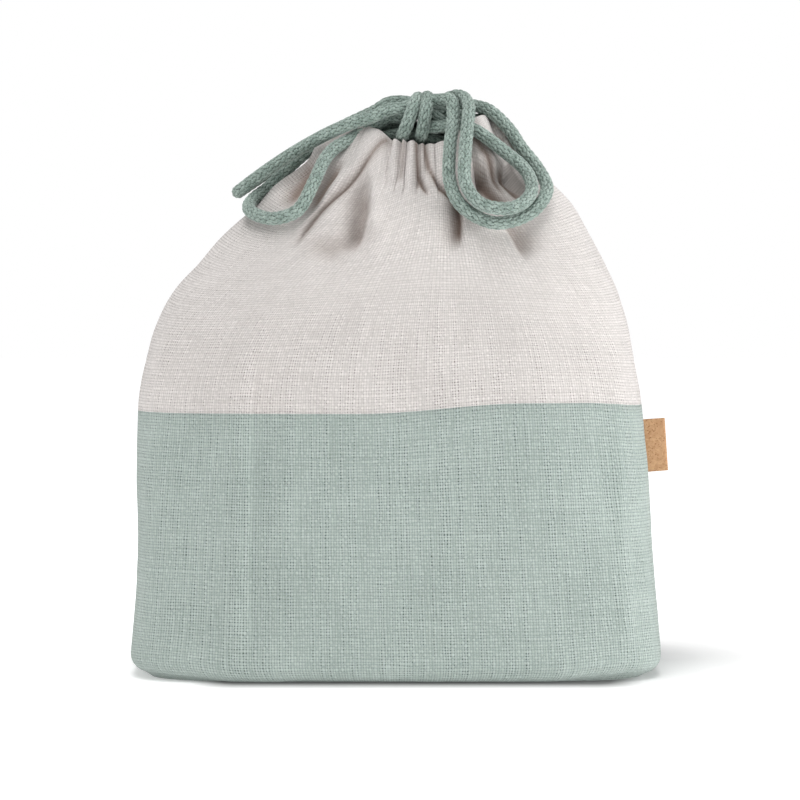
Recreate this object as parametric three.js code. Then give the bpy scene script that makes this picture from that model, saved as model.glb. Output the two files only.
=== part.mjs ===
// A two-tone linen drawstring bag for a lunch box, drawn shut and tied in a bow.
// Millimetres, +Z up, the front faces -Y, the origin is the middle of the base.
import * as THREE from "three";

// Bag body
const baseWidth = 210;
const baseDepth = 104;
const waistWidth = 200;
const waistDepth = 96;
const waistHeight = 104;
const waistShift = -2.5;
const baseEdgeRadius = 8;
const baseSquareness = 5;
const waistSquareness = 3.6;
const clothThickness = 1;
const seamGap = 0.3;

// Gathered mouth, measured on the middle line of the casing
const mouthWidth = 60;
const mouthDepth = 30;
const mouthShift = 11;
const rimHeightFront = 208.5;
const rimHeightSide = 216;
const casingTiltFront = 30;
const casingTiltLeft = 50;
const casingTiltRight = 43;
const cordSlot = 46;
const bellyRise = 50;
const neckRunLeft = 50;
const neckRunRight = 40;

// Seam allowances inside the bag
const seamWidth = 6;
const seamThickness = 1.6;
const sideSeamReach = 0.6;
const seamEndClearance = 4;

// Drawcords
const cordDiameter = 5.6;
const cordClearance = 0.6;
const cordSides = 8;
const freeStep = 11.5;
const heldStep = 5;

// Knot of the bow, and the knots that end the tails
const knotWidth = 11;
const knotDepth = 18;
const knotHeight = 19;
const knotRounding = 7;
const knotCentre = new THREE.Vector3(8.5, -5, 220.5);
const endKnotDiameter = 11.6;
const endKnotHeight = 10;
const endKnotDrop = 1.8;
const endKnotNeck = 10.6;

// Folded cork label in the right side seam
const labelReach = 8.2;
const labelHeight = 21;
const labelThickness = 1.6;
const labelDrop = 15.5;

// Facets
const halfColumns = 24;
const baseRows = 3;
const edgeRows = 3;
const wallRows = 3;
const bellyRows = 10;
const sideSeamRows = 6;
const casingSteps = 14;
const cornerSeamColumns = 3;
const endKnotSides = 12;
const knotSegments = 4;
const labelSegments = 6;

const naturalLinen = new THREE.MeshStandardMaterial({ color: 0xe2ddd9, roughness: 0.95, metalness: 0 });
const sageLinen = new THREE.MeshStandardMaterial({ color: 0xb2c4ba, roughness: 0.95, metalness: 0 });
const sageCord = new THREE.MeshStandardMaterial({ color: 0x7a9389, roughness: 0.9, metalness: 0 });
const cork = new THREE.MeshStandardMaterial({ color: 0xd6a872, roughness: 0.85, metalness: 0 });

const bag = new THREE.Group();

function add(name, geometry, material) {
  const mesh = new THREE.Mesh(geometry, material);
  mesh.name = name;
  bag.add(mesh);
  return mesh;
}

// A closed geometry from triangles of points; equal points become one vertex.
function closedGeometry(triangles) {
  const places = new Map();
  const positions = [];
  const index = [];
  const vertexOf = (point) => {
    const key = point.toArray().map((value) => value.toFixed(4)).join(" ");
    if (!places.has(key)) {
      places.set(key, positions.length / 3);
      positions.push(point.x, point.y, point.z);
    }
    return places.get(key);
  };
  for (const corners of triangles) {
    const [a, b, c] = corners.map(vertexOf);
    if (a !== b && b !== c && c !== a) index.push(a, b, c);
  }
  const geometry = new THREE.BufferGeometry();
  geometry.setAttribute("position", new THREE.Float32BufferAttribute(positions, 3));
  geometry.setIndex(index);
  geometry.computeVertexNormals();
  return geometry;
}

function quad(triangles, a, b, c, d) {
  triangles.push([a, b, c], [a, c, d]);
}

// The outward normal at one point of a grid of rows that rise and columns that run to the right.
function gridNormal(grid, row, column) {
  const lastRow = grid.length - 1;
  const lastColumn = grid[0].length - 1;
  const across = new THREE.Vector3().subVectors(
    grid[row][Math.min(column + 1, lastColumn)],
    grid[row][Math.max(column - 1, 0)],
  );
  const up = new THREE.Vector3().subVectors(
    grid[Math.min(row + 1, lastRow)][column],
    grid[Math.max(row - 1, 0)][column],
  );
  return across.cross(up).normalize();
}

// At the side seams the two panels mirror each other, so their normals there have no Y part.
function panelNormal(grid, row, column) {
  const normal = gridNormal(grid, row, column);
  if (column === 0 || column === grid[0].length - 1) normal.setY(0).normalize();
  return normal;
}

// A sheet of cloth: the space between two depths under a grid of surface points.
function sheet(grid, fromDepth, toDepth, normalAt = gridNormal) {
  const layer = (depth) =>
    grid.map((points, row) =>
      points.map((point, column) => point.clone().addScaledVector(normalAt(grid, row, column), -depth)),
    );
  const outer = layer(fromDepth);
  const inner = layer(toDepth);
  const triangles = [];
  const lastRow = grid.length - 1;
  const lastColumn = grid[0].length - 1;
  for (let row = 0; row < lastRow; row++) {
    for (let column = 0; column < lastColumn; column++) {
      const [r, c] = [row + 1, column + 1];
      quad(triangles, outer[row][column], outer[row][c], outer[r][c], outer[r][column]);
      quad(triangles, inner[row][column], inner[r][column], inner[r][c], inner[row][c]);
    }
  }
  for (let column = 0; column < lastColumn; column++) {
    const c = column + 1;
    quad(triangles, outer[0][c], outer[0][column], inner[0][column], inner[0][c]);
    quad(triangles, outer[lastRow][column], outer[lastRow][c], inner[lastRow][c], inner[lastRow][column]);
  }
  for (let row = 0; row < lastRow; row++) {
    const r = row + 1;
    quad(triangles, outer[row][0], outer[r][0], inner[r][0], inner[row][0]);
    const c = lastColumn;
    quad(triangles, outer[r][c], outer[row][c], inner[row][c], inner[r][c]);
  }
  return closedGeometry(triangles);
}

// A place on half of the unit square: 0 is the middle of the left side, 1 the middle of the right
// side, and between them the path runs along the front. Columns share out the base's real lengths.
function halfSquare(share) {
  const along = share * (baseWidth + baseDepth);
  const side = baseDepth / 2;
  if (along < side) return [-1, -along / side];
  if (along > side + baseWidth) return [1, -(baseWidth + baseDepth - along) / side];
  return [-1 + (2 * (along - side)) / baseWidth, -1];
}

// That place pulled onto a rounded outline; squareness 2 is an ellipse.
function outlineAt(share, halfWidth, halfDepth, squareness) {
  const [u, w] = halfSquare(share);
  const reach = (Math.abs(u) ** squareness + Math.abs(w) ** squareness) ** (1 / squareness);
  return [(halfWidth * u) / reach, (halfDepth * w) / reach];
}

const mix = THREE.MathUtils.lerp;

function wallPoint(share, height, inset = 0) {
  const rise = height / waistHeight;
  const halfWidth = mix(baseWidth, waistWidth, rise) / 2 - inset;
  const halfDepth = mix(baseDepth, waistDepth, rise) / 2 - inset;
  const [x, y] = outlineAt(share, halfWidth, halfDepth, mix(baseSquareness, waistSquareness, rise));
  return new THREE.Vector3(x + waistShift * rise, y - seamGap / 2, height);
}

// The casing: a flat sleeve that holds both cords, one above the other, round the mouth.
const casingThickness = cordDiameter + 2 * cordClearance + 2 * clothThickness;
const casingHeight = 2 * cordDiameter + 3 * cordClearance + 2 * clothThickness;
const cordRise = (cordDiameter + cordClearance) / 2;

// One station of the casing at an angle round the mouth: its middle, and the directions that
// lead up the slanted sleeve and out of its face.
function casingStation(angle) {
  const side = Math.cos(angle) ** 2;
  const sideTilt = Math.cos(angle) < 0 ? casingTiltLeft : casingTiltRight;
  const tilt = THREE.MathUtils.degToRad(mix(casingTiltFront, sideTilt, side));
  const outward = new THREE.Vector3(
    Math.cos(angle) / mouthWidth,
    Math.sin(angle) / mouthDepth,
    0,
  ).normalize();
  const upright = new THREE.Vector3(0, 0, 1);
  const rise = upright.clone().multiplyScalar(Math.cos(tilt)).addScaledVector(outward, -Math.sin(tilt));
  const face = outward.clone().multiplyScalar(Math.cos(tilt)).addScaledVector(upright, Math.sin(tilt));
  const drop = (casingHeight / 2) * Math.cos(tilt) + (casingThickness / 2) * Math.sin(tilt);
  const middle = new THREE.Vector3(
    mouthShift + (mouthWidth / 2) * Math.cos(angle),
    (mouthDepth / 2) * Math.sin(angle),
    mix(rimHeightFront, rimHeightSide, side) - drop,
  );
  const at = (up, out) => middle.clone().addScaledVector(rise, up).addScaledVector(face, out);
  return { rise, at };
}

// The angle of the front half of the mouth that faces a share of the wall.
function mouthAngle(share) {
  const [u, w] = halfSquare(share);
  return Math.atan2(w, u);
}

// The gathered upper cloth goes on from the wall in a straight line and leans into the casing.
function bellyPoint(share, rise) {
  const start = wallPoint(share, waistHeight);
  start.z += seamGap / 2;
  const angle = mouthAngle(share);
  const station = casingStation(angle);
  const neckRun = mix(neckRunLeft, neckRunRight, (1 + Math.cos(angle)) / 2);
  const end = station.at(-casingHeight / 2 - seamGap, casingThickness / 2);
  end.y -= seamGap / 2;
  const lift = start.clone().multiplyScalar(2).sub(wallPoint(share, waistHeight - bellyRise));
  const lean = end.clone().addScaledVector(station.rise, -neckRun);
  return new THREE.CubicBezierCurve3(start, lift, lean, end).getPoint(rise);
}

const halfShares = Array.from({ length: halfColumns + 1 }, (_, column) => column / halfColumns);

function upperGrid() {
  return Array.from({ length: bellyRows + 1 }, (_, row) =>
    halfShares.map((share) => bellyPoint(share, row / bellyRows)),
  );
}

// Half of the base, the rounded base edge and the wall, up to the colour change.
function lowerGrid() {
  const rows = [];
  const foot = halfShares.map((share) => wallPoint(share, 0, baseEdgeRadius));
  const footLeft = foot[0].x;
  const footRight = foot[halfColumns].x;
  for (let row = 0; row < baseRows; row++) {
    rows.push(
      foot.map((point, column) => {
        const middle = new THREE.Vector3(mix(footLeft, footRight, halfShares[column]), -seamGap / 2, 0);
        return middle.lerp(point, row / baseRows);
      }),
    );
  }
  for (let row = 0; row <= edgeRows; row++) {
    const turn = (row / edgeRows) * (Math.PI / 2);
    const inset = baseEdgeRadius * (1 - Math.sin(turn));
    const height = baseEdgeRadius * (1 - Math.cos(turn));
    rows.push(halfShares.map((share) => wallPoint(share, height, inset)));
  }
  const wallTop = waistHeight - seamGap / 2;
  for (let row = 1; row <= wallRows; row++) {
    const height = mix(baseEdgeRadius, wallTop, row / wallRows);
    rows.push(halfShares.map((share) => wallPoint(share, height)));
  }
  return rows;
}

// Base rows face straight down, so that their inner face stays flat.
function lowerNormal(grid, row, column) {
  return row <= baseRows ? new THREE.Vector3(0, 0, -1) : panelNormal(grid, row, column);
}

// The same geometry turned half a turn about Z would swap left and right, so the back is mirrored.
function mirrored(geometry) {
  const copy = geometry.clone().scale(1, -1, 1);
  const index = copy.getIndex();
  for (let i = 0; i < index.count; i += 3) {
    const second = index.getX(i + 1);
    index.setX(i + 1, index.getX(i + 2));
    index.setX(i + 2, second);
  }
  copy.computeVertexNormals();
  return copy;
}

const upperCloth = sheet(upperGrid(), 0, clothThickness, panelNormal);
add("front_upper_panel", upperCloth, naturalLinen);
add("back_upper_panel", mirrored(upperCloth), naturalLinen);

const lowerCloth = sheet(lowerGrid(), 0, clothThickness, lowerNormal);
add("front_lower_panel", lowerCloth, sageLinen);
add("back_lower_panel", mirrored(lowerCloth), sageLinen);

// A flat tube through stations: a rectangular sleeve with open ends.
function sleeve(stations) {
  const corners = (height, thickness) => {
    const [h, t] = [height / 2, thickness / 2];
    return [[-h, t], [h, t], [h, -t], [-h, -t]];
  };
  const outer = corners(casingHeight, casingThickness);
  const inner = corners(casingHeight - 2 * clothThickness, casingThickness - 2 * clothThickness);
  const triangles = [];
  const last = stations.length - 1;
  for (let corner = 0; corner < outer.length; corner++) {
    const next = (corner + 1) % outer.length;
    const o = stations.map((station) => [station.at(...outer[corner]), station.at(...outer[next])]);
    const i = stations.map((station) => [station.at(...inner[corner]), station.at(...inner[next])]);
    for (let step = 0; step < last; step++) {
      quad(triangles, o[step][0], o[step + 1][0], o[step + 1][1], o[step][1]);
      quad(triangles, i[step][0], i[step][1], i[step + 1][1], i[step + 1][0]);
    }
    quad(triangles, o[0][0], o[0][1], i[0][1], i[0][0]);
    quad(triangles, o[last][0], i[last][0], i[last][1], o[last][1]);
  }
  return closedGeometry(triangles);
}

const slotAngle = THREE.MathUtils.degToRad(cordSlot);
const casingAngles = Array.from({ length: casingSteps + 1 }, (_, step) =>
  mix(Math.PI + slotAngle, 2 * Math.PI - slotAngle, step / casingSteps),
);
const frontCasing = sleeve(casingAngles.map(casingStation));
add("front_casing", frontCasing, naturalLinen);
add("back_casing", mirrored(frontCasing), naturalLinen);

// Seam allowances, folded flat against the inner face of the cloth
const seamDepth = clothThickness + seamGap;

function box(name, width, depth, height, x, y, z) {
  const mesh = add(name, new THREE.BoxGeometry(width, depth, height), sageLinen);
  mesh.position.set(x, y, z);
}

const baseSeamHalf = baseWidth / 2 - baseEdgeRadius - seamEndClearance;
const seamZ = seamDepth + seamThickness / 2;
box("base_seam", 2 * baseSeamHalf, seamWidth, seamThickness, 0, 0, seamZ);

// A boxed corner's seam runs from front to back, just above the rounded base edge.
const cornerSeamBottom = baseEdgeRadius + seamGap;

function cornerSeam(sideShare) {
  const inward = sideShare < 0.5 ? 1 : -1;
  const columns = 2 * cornerSeamColumns;
  const row = (height) =>
    Array.from({ length: columns + 1 }, (_, column) => {
      const reach = (column / cornerSeamColumns - 1) * inward;
      const share = sideShare + (inward * Math.abs(reach) * cornerSeamColumns) / halfColumns;
      const point = wallPoint(share, height);
      if (reach * inward < 0 !== sideShare > 0.5) point.y *= -1;
      return point;
    });
  return sheet(
    [row(cornerSeamBottom), row(cornerSeamBottom + seamWidth)],
    seamDepth,
    seamDepth + seamThickness,
  );
}

add("left_corner_seam", cornerSeam(0), sageLinen);
add("right_corner_seam", cornerSeam(1), sageLinen);

const sideSeamBottom = cornerSeamBottom + seamWidth + 2 * seamGap;

// The outline of the bag's side in the XZ plane, from the wall up to a share of the upper cloth.
function sideOutline(share) {
  const points = [];
  for (let row = 0; row <= wallRows; row++) {
    points.push(wallPoint(share, mix(sideSeamBottom, waistHeight, row / wallRows)));
  }
  for (let row = 1; row <= sideSeamRows; row++) {
    points.push(bellyPoint(share, (sideSeamReach * row) / sideSeamRows));
  }
  return points;
}

function sideSeam(share) {
  const line = sideOutline(share);
  const lean = share < 0.5 ? -1 : 1;
  const columns = [-seamWidth / 2, seamWidth / 2].map((y) => y * lean);
  return sheet(
    line.map((point) => columns.map((y) => new THREE.Vector3(point.x, y, point.z))),
    seamDepth + seamGap,
    seamDepth + seamGap + seamThickness,
  );
}

add("left_side_seam", sideSeam(0), sageLinen);
add("right_side_seam", sideSeam(1), sageLinen);

// The waist seam joins the two cloths at the colour change.
function waistSeam() {
  const end = (seamWidth / 2 + seamEndClearance) / (baseWidth + baseDepth);
  const shares = halfShares.filter((share) => share > end && share < 1 - end);
  const heights = [waistHeight - seamWidth, waistHeight + seamWidth / 2];
  const atWaist = (share) => wallPoint(share, waistHeight, seamDepth);
  const rows = heights.map((height) => shares.map((share) => atWaist(share).setZ(height)));
  return sheet(rows, seamGap, seamGap + seamThickness);
}

const waistAllowance = waistSeam();
add("front_waist_seam", waistAllowance, sageLinen);
add("back_waist_seam", mirrored(waistAllowance), sageLinen);

// Cords
const cordSection = new THREE.Shape(
  Array.from({ length: cordSides }, (_, side) => {
    const angle = (2 * Math.PI * side) / cordSides;
    return new THREE.Vector2(Math.cos(angle), Math.sin(angle)).multiplyScalar(cordDiameter / 2);
  }),
);

function cord(points, step) {
  const path = new THREE.CatmullRomCurve3(points, false, "centripetal");
  const steps = Math.max(2, Math.round(path.getLength() / step));
  return new THREE.ExtrudeGeometry(cordSection, { steps, bevelEnabled: false, extrudePath: path });
}

const route = (points) => points.map((point) => new THREE.Vector3(...point));

// Where strands meet the knot
const knotLeft = knotCentre.x - knotWidth / 2 - seamGap;
const knotRight = knotCentre.x + knotWidth / 2 + seamGap;
const knotBack = knotCentre.y + knotDepth / 2 + seamGap;

// Each drawcord goes all the way round the mouth inside the casing. Both its ends leave at its own
// side and rise over the rim into the side of the knot.
const leftExit = [
  [-12.5, -5.4, 206.4],
  [-13.5, -2.4, 208.6],
  [-8.5, -2.2, 210],
  [-2, -4.6, 211.6],
  [knotLeft, -5, 212],
];
const leftBackExit = [
  [-12.5, 5.6, 206.6],
  [-13.5, 4, 210],
  [-8.5, 3.6, 213.8],
  [-2, 1.2, 215.3],
  [knotLeft, 0.8, 215.4],
];
const rightExit = [
  [36.5, -10.2, 201.4],
  [40.5, -7.4, 204],
  [44, -5.2, 208.8],
  [43, -2.8, 214],
  [36.5, -1.4, 217.8],
  [30, -2.6, 217.5],
  [24, -4.2, 216.2],
  [19, -4.9, 214.8],
  [knotRight, -4.9, 214.4],
];
const rightBackExit = [
  [36.5, 10.2, 201.4],
  [40.5, 7.4, 204],
  [44, 5.2, 208.8],
  [42.8, 4.2, 213.6],
  [36, 4, 215.6],
  [27, 2.8, 215.4],
  [20, 1.4, 214.4],
  [knotRight, 1.1, 214.2],
];

function heldRun(fromAngle, toAngle, rise) {
  const points = [];
  const turns = 4 * casingSteps;
  for (let step = 0; step <= turns; step++) {
    points.push(casingStation(mix(fromAngle, toAngle, step / turns)).at(rise, 0));
  }
  return points;
}

function drawcord(exit, held, backExit) {
  return cord([...route(exit).reverse(), ...held, ...route(backExit)], heldStep);
}

const leftHeld = heldRun(Math.PI + slotAngle, 3 * Math.PI - slotAngle, cordRise);
const rightHeld = heldRun(-slotAngle, -2 * Math.PI + slotAngle, -cordRise);
add("left_cord_casing_run", drawcord(leftExit, leftHeld, leftBackExit), sageCord);
add("right_cord_casing_run", drawcord(rightExit, rightHeld, rightBackExit), sageCord);

// The knot: the wrap that holds both ears, drawn tight into a rounded block.
function knotGeometry() {
  const [w, h, r] = [knotDepth / 2, knotHeight / 2, knotRounding];
  const outline = new THREE.Shape();
  outline.moveTo(w, -h + r);
  outline.lineTo(w, h - r);
  outline.absarc(w - r, h - r, r, 0, Math.PI / 2);
  outline.lineTo(-w + r, h);
  outline.absarc(-w + r, h - r, r, Math.PI / 2, Math.PI);
  outline.lineTo(-w, -h + r);
  outline.absarc(-w + r, -h + r, r, Math.PI, 1.5 * Math.PI);
  outline.lineTo(w - r, -h);
  outline.absarc(w - r, -h + r, r, 1.5 * Math.PI, 2 * Math.PI);
  const solid = { depth: knotWidth, bevelEnabled: false, curveSegments: knotSegments };
  const block = new THREE.ExtrudeGeometry(outline, solid);
  // The outline's own X and Y become the bag's Y and Z, and its depth the bag's X.
  block.translate(0, 0, -knotWidth / 2);
  block.applyMatrix4(new THREE.Matrix4().set(0, 0, 1, 0, 1, 0, 0, 0, 0, 1, 0, 0, 0, 0, 0, 1));
  return block;
}

add("bow_knot", knotGeometry(), sageCord).position.copy(knotCentre);

// The left ear: a long loop that turns back behind itself, and a wide loop that hangs below it.
const leftLongLoop = [
  [knotLeft, -11, 222],
  [-2, -10.8, 221.6],
  [-9, -10.5, 218.8],
  [-15.5, -10.5, 216.8],
  [-25, -10, 213],
  [-39, -9.8, 205.4],
  [-52, -8.8, 196.9],
  [-62.6, -1.4, 189.4],
  [-55.5, 6, 194.6],
  [-40.5, 7.4, 204.5],
  [-24.5, 7, 213],
  [-14.5, 5.6, 217.9],
  [-9, 3.8, 220.9],
  [-5.5, 2.6, 223.1],
  [-2, 1.2, 224.8],
  [knotLeft, 0.9, 225],
];
const leftWideLoop = [
  [knotLeft, -5, 224.8],
  [-3, -4.8, 224.3],
  [-8, -2.8, 221.4],
  [-14, -1.8, 218.6],
  [-23, -1.2, 214.2],
  [-32, -1.2, 208],
  [-41.5, -1.4, 200],
  [-50, -2.6, 191.6],
  [-57, -9, 185.6],
  [-56.5, -21, 181.2],
  [-47, -31.4, 178.4],
  [-38, -33.5, 181.5],
  [-32, -29.5, 192],
  [-28, -21.5, 201],
  [-24, -14.5, 206.2],
  [-17.5, -8.8, 210.2],
  [-13, -6.4, 213],
  [-8, -4.8, 215.6],
  [-3, -4.1, 218.8],
  [knotLeft, -4, 219],
];
// The right ear: two loops that come over the top of the knot and hang in front of the cloth.
const rightOuterLoop = [
  [knotRight, -11, 225],
  [17.5, -11.2, 225.2],
  [21.5, -14.5, 225],
  [22.3, -19.5, 216.5],
  [21, -26, 206.5],
  [21, -32.5, 192],
  [26, -37.5, 182.5],
  [38, -39, 176.6],
  [51.8, -33.6, 180.4],
  [58.8, -24.5, 189.8],
  [55.3, -17.5, 198.4],
  [49.2, -13.8, 206.4],
  [44.4, -11.5, 213.8],
  [36.5, -7, 221.4],
  [30, -1.6, 223.6],
  [25, 1, 224.4],
  [19, 1, 225],
  [knotRight, 0.8, 225],
];
const rightInnerLoop = [
  [knotRight, -5.1, 225],
  [17.5, -5.1, 225.2],
  [24.5, -8, 227],
  [28.3, -17, 223],
  [27.8, -24.4, 214],
  [26.8, -30.4, 203.6],
  [27, -36.6, 191.6],
  [32.8, -42, 183.8],
  [44, -41.6, 182.2],
  [52.2, -31.8, 188],
  [51, -23.5, 196.5],
  [40, -20.5, 206.5],
  [31, -18, 213],
  [22.5, -13.8, 215.2],
  [17.5, -11.2, 214.8],
  [knotRight, -11, 214.6],
];
// The tails hang down the back of the bag; each pair ends in a common knot.
const tailUpperStrand = [
  [5.6, knotBack, 222],
  [5.5, 8.5, 222],
  [3.5, 17, 218],
  [0.5, 25, 207],
  [-2.5, 31, 195.5],
  [-4.2, 37, 185.5],
  [-5, 43.5, 177.5],
  [-5, 46.8, 171.5],
];
const tailLowerStrand = [
  [5.6, knotBack, 215.6],
  [5.4, 8.5, 215.6],
  [-2.5, 17, 211],
  [-7.5, 24, 201.5],
  [-9.5, 30, 191.5],
  [-10.8, 36, 183],
  [-11, 43, 176.5],
  [-11, 46.8, 171.5],
];

// The right tail is the left one mirrored about the knot's middle.
const flipSide = (points) => points.map(([x, y, z]) => [2 * knotCentre.x - x, y, z]);

const freeCords = {
  left_ear_long_loop: leftLongLoop,
  left_ear_wide_loop: leftWideLoop,
  right_ear_outer_loop: rightOuterLoop,
  right_ear_inner_loop: rightInnerLoop,
  left_tail_upper_strand: tailUpperStrand,
  left_tail_lower_strand: tailLowerStrand,
  right_tail_upper_strand: flipSide(tailUpperStrand),
  right_tail_lower_strand: flipSide(tailLowerStrand),
};
for (const [name, points] of Object.entries(freeCords)) {
  add(name, cord(route(points), freeStep), sageCord);
}

function endKnot(name, strands) {
  const ends = strands.map((points) => new THREE.Vector3(...points[points.length - 1]));
  const middle = ends[0].clone().lerp(ends[1], 0.5);
  const [r, h] = [endKnotDiameter / 2, endKnotHeight / 2];
  const neck = endKnotNeck / 2;
  const profile = [[0, -h], [neck / 2, -h], [r, -h / 3], [r, h / 3], [neck, h], [0, h]];
  const lathe = new THREE.LatheGeometry(profile.map((point) => new THREE.Vector2(...point)), endKnotSides);
  lathe.rotateX(Math.PI / 2);
  add(name, lathe, sageCord).position.copy(middle).setZ(middle.z - h - endKnotDrop);
}

endKnot("left_end_knot", [tailUpperStrand, tailLowerStrand]);
endKnot("right_end_knot", [flipSide(tailUpperStrand), flipSide(tailLowerStrand)]);

// The label is a folded strip. Its sewn edge is a round roll about the line that it bends on.
function labelGeometry() {
  const half = labelThickness / 2;
  const outline = new THREE.Shape();
  outline.absarc(0, 0, half, Math.PI / 2, 1.5 * Math.PI);
  outline.lineTo(labelReach - 2 * half, -half);
  outline.absarc(labelReach - 2 * half, 0, half, -Math.PI / 2, Math.PI / 2);
  const solid = { depth: labelHeight, bevelEnabled: false, curveSegments: labelSegments };
  const strip = new THREE.ExtrudeGeometry(outline, solid);
  return strip.translate(0, 0, -labelHeight / 2);
}

const labelMiddle = waistHeight - labelDrop;
const labelBelow = wallPoint(1, labelMiddle - labelHeight / 2);
const labelAbove = wallPoint(1, labelMiddle + labelHeight / 2);
const labelLean = Math.atan2(labelAbove.x - labelBelow.x, labelHeight);
const label = add("cork_label", labelGeometry(), cork);
label.rotation.y = labelLean;
label.position.set(
  wallPoint(1, labelMiddle).x + (seamGap + labelThickness / 2) / Math.cos(labelLean),
  0,
  labelMiddle,
);

export default bag;
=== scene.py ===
# %% [markdown]
# # A linen drawstring bag
# The bag stands filled and drawn shut: sage green cloth below, undyed cloth above, gathered at the
# mouth by two braided cords that are tied in a bow, with a small cork label in the right side seam.
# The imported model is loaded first. Its solids give the places, and every soft solid is replaced by
# a modelled piece. Everything is in metres, in the model's own frame: the front faces -Y, Z is up.

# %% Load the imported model
import bisect
import math
import random

import bmesh
import bpy
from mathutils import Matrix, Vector, geometry, noise


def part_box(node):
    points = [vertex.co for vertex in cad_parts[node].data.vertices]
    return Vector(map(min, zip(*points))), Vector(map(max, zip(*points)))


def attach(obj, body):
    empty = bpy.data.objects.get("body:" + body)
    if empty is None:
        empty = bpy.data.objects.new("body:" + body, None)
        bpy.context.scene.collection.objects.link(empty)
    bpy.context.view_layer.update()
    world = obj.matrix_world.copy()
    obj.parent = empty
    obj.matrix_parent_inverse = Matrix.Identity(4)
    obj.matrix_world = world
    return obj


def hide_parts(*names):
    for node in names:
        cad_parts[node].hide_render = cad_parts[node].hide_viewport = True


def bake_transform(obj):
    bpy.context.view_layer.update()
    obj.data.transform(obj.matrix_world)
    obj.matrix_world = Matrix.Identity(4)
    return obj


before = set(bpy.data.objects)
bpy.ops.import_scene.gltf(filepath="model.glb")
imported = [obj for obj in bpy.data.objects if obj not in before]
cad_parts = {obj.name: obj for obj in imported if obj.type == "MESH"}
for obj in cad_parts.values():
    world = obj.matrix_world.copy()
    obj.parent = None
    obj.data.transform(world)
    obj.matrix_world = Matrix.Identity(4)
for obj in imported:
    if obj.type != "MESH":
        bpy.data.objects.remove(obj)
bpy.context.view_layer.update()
scene = bpy.context.scene
MM = 0.001

# %% [markdown]
# ## Camera
# The picture was taken from about the height of the bag's shoulder with a long lens, so that the
# sides stay upright. A camera that is aimed by hand drifts, so its place and its aim are worked out
# from two heights: the horizon, where the eye is, and the middle of the picture.

# %% Camera
EYE_DISTANCE = 1.2
EYE_HEIGHT = 0.16
EYE_SIDE = 0.0016
AIM_HEIGHT = 0.1067
FRAME_WIDTH = 0.3184
SENSOR = 36.0

eye = bpy.data.cameras.new("eye")
eye.sensor_width = SENSOR
eye.lens = SENSOR * EYE_DISTANCE / FRAME_WIDTH
camera = bpy.data.objects.new("eye", eye)
scene.collection.objects.link(camera)
camera.location = (EYE_SIDE, -EYE_DISTANCE, EYE_HEIGHT)
aim = Vector((EYE_SIDE, 0, AIM_HEIGHT)) - camera.location
camera.rotation_euler = aim.to_track_quat("-Z", "Y").to_euler()
scene.camera = camera
scene.view_settings.view_transform = "Standard"
print("lens", round(eye.lens, 1), "mm")

# %% [markdown]
# ## Small helpers
# A piece is made in a bmesh and then becomes an object that sits at the origin and may stand for some
# of the model's solids. It rides on one body, or, where two bend points are given, it is left
# unattached; the points themselves are not used.

# %% Helpers for pieces
def piece(name, mesh_maker, material, body, *nodes, bend=None):
    """Turn a filled bmesh into an object that stands for solids and rides on a body, or is left unattached
    if bend points are given.
    """
    mesh = bpy.data.meshes.new(name)
    mesh_maker.to_mesh(mesh)
    mesh_maker.free()
    mesh.materials.append(material)
    mesh.polygons.foreach_set("use_smooth", [True] * len(mesh.polygons))
    made = bpy.data.objects.new(name, mesh)
    scene.collection.objects.link(made)
    if bend:
        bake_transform(made)
    else:
        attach(made, body)
    if nodes:
        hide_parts(*nodes)
    print(name, len(mesh.polygons), "faces")
    return made


def thicken(made, thickness, offset):
    """Give a sheet its thickness: on its inside if the offset is -1, on both sides if it is 0."""
    solid = made.modifiers.new("thickness", "SOLIDIFY")
    solid.thickness = thickness
    solid.offset = offset


def new_grid(maker, columns, rows):
    """Add a flat grid to a bmesh; gives each of its points with its column and its row."""
    verts = bmesh.ops.create_grid(maker, x_segments=columns, y_segments=rows, size=0.5)["verts"]
    return [(v, round((v.co.x + 0.5) * columns), round((v.co.y + 0.5) * rows)) for v in verts]


def runs_of(points):
    """The distance travelled along a row of points, starting from nothing."""
    runs = [0.0]
    for a, b in zip(points, points[1:]):
        runs.append(runs[-1] + (b - a).length)
    return runs


def mix(a, b, t):
    """The value a share t of the way from a to b."""
    return a + (b - a) * t


def smoothstep(low, high, value):
    """0 below low, 1 above high, and a soft ramp between them."""
    t = min(1.0, max(0.0, (value - low) / (high - low)))
    return t * t * (3 - 2 * t)

# %% [markdown]
# ## Node helpers
# A material is a small graph. These helpers add a node, link it and set its values in one line, so
# that each material below reads as a recipe.

# %% Nodes
def add_node(tree, kind, inputs=None, **settings):
    """Add a node; inputs maps a socket name or number to a value or to another node's socket."""
    node = tree.nodes.new(kind)
    for key, value in settings.items():
        setattr(node, key, value)
    for key, value in (inputs or {}).items():
        if isinstance(value, bpy.types.NodeSocket):
            tree.links.new(value, node.inputs[key])
        else:
            node.inputs[key].default_value = value
    return node


def math_node(tree, operation, *values):
    """A Math node; its values are numbers or sockets."""
    return add_node(tree, "ShaderNodeMath", dict(enumerate(values)), operation=operation).outputs[0]


def vector_node(tree, operation, *values, result=0):
    """A Vector Math node; its values are vectors or sockets."""
    node = add_node(tree, "ShaderNodeVectorMath", dict(enumerate(values)), operation=operation)
    return node.outputs[result]


def ramp(tree, value, low=0.0, high=1.0, first=0.0, last=1.0):
    """A straight ramp: first where the value is low, last where it is high, and no further."""
    return add_node(tree, "ShaderNodeMapRange", {0: value, 1: low, 2: high, 3: first, 4: last}).outputs[0]


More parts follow.
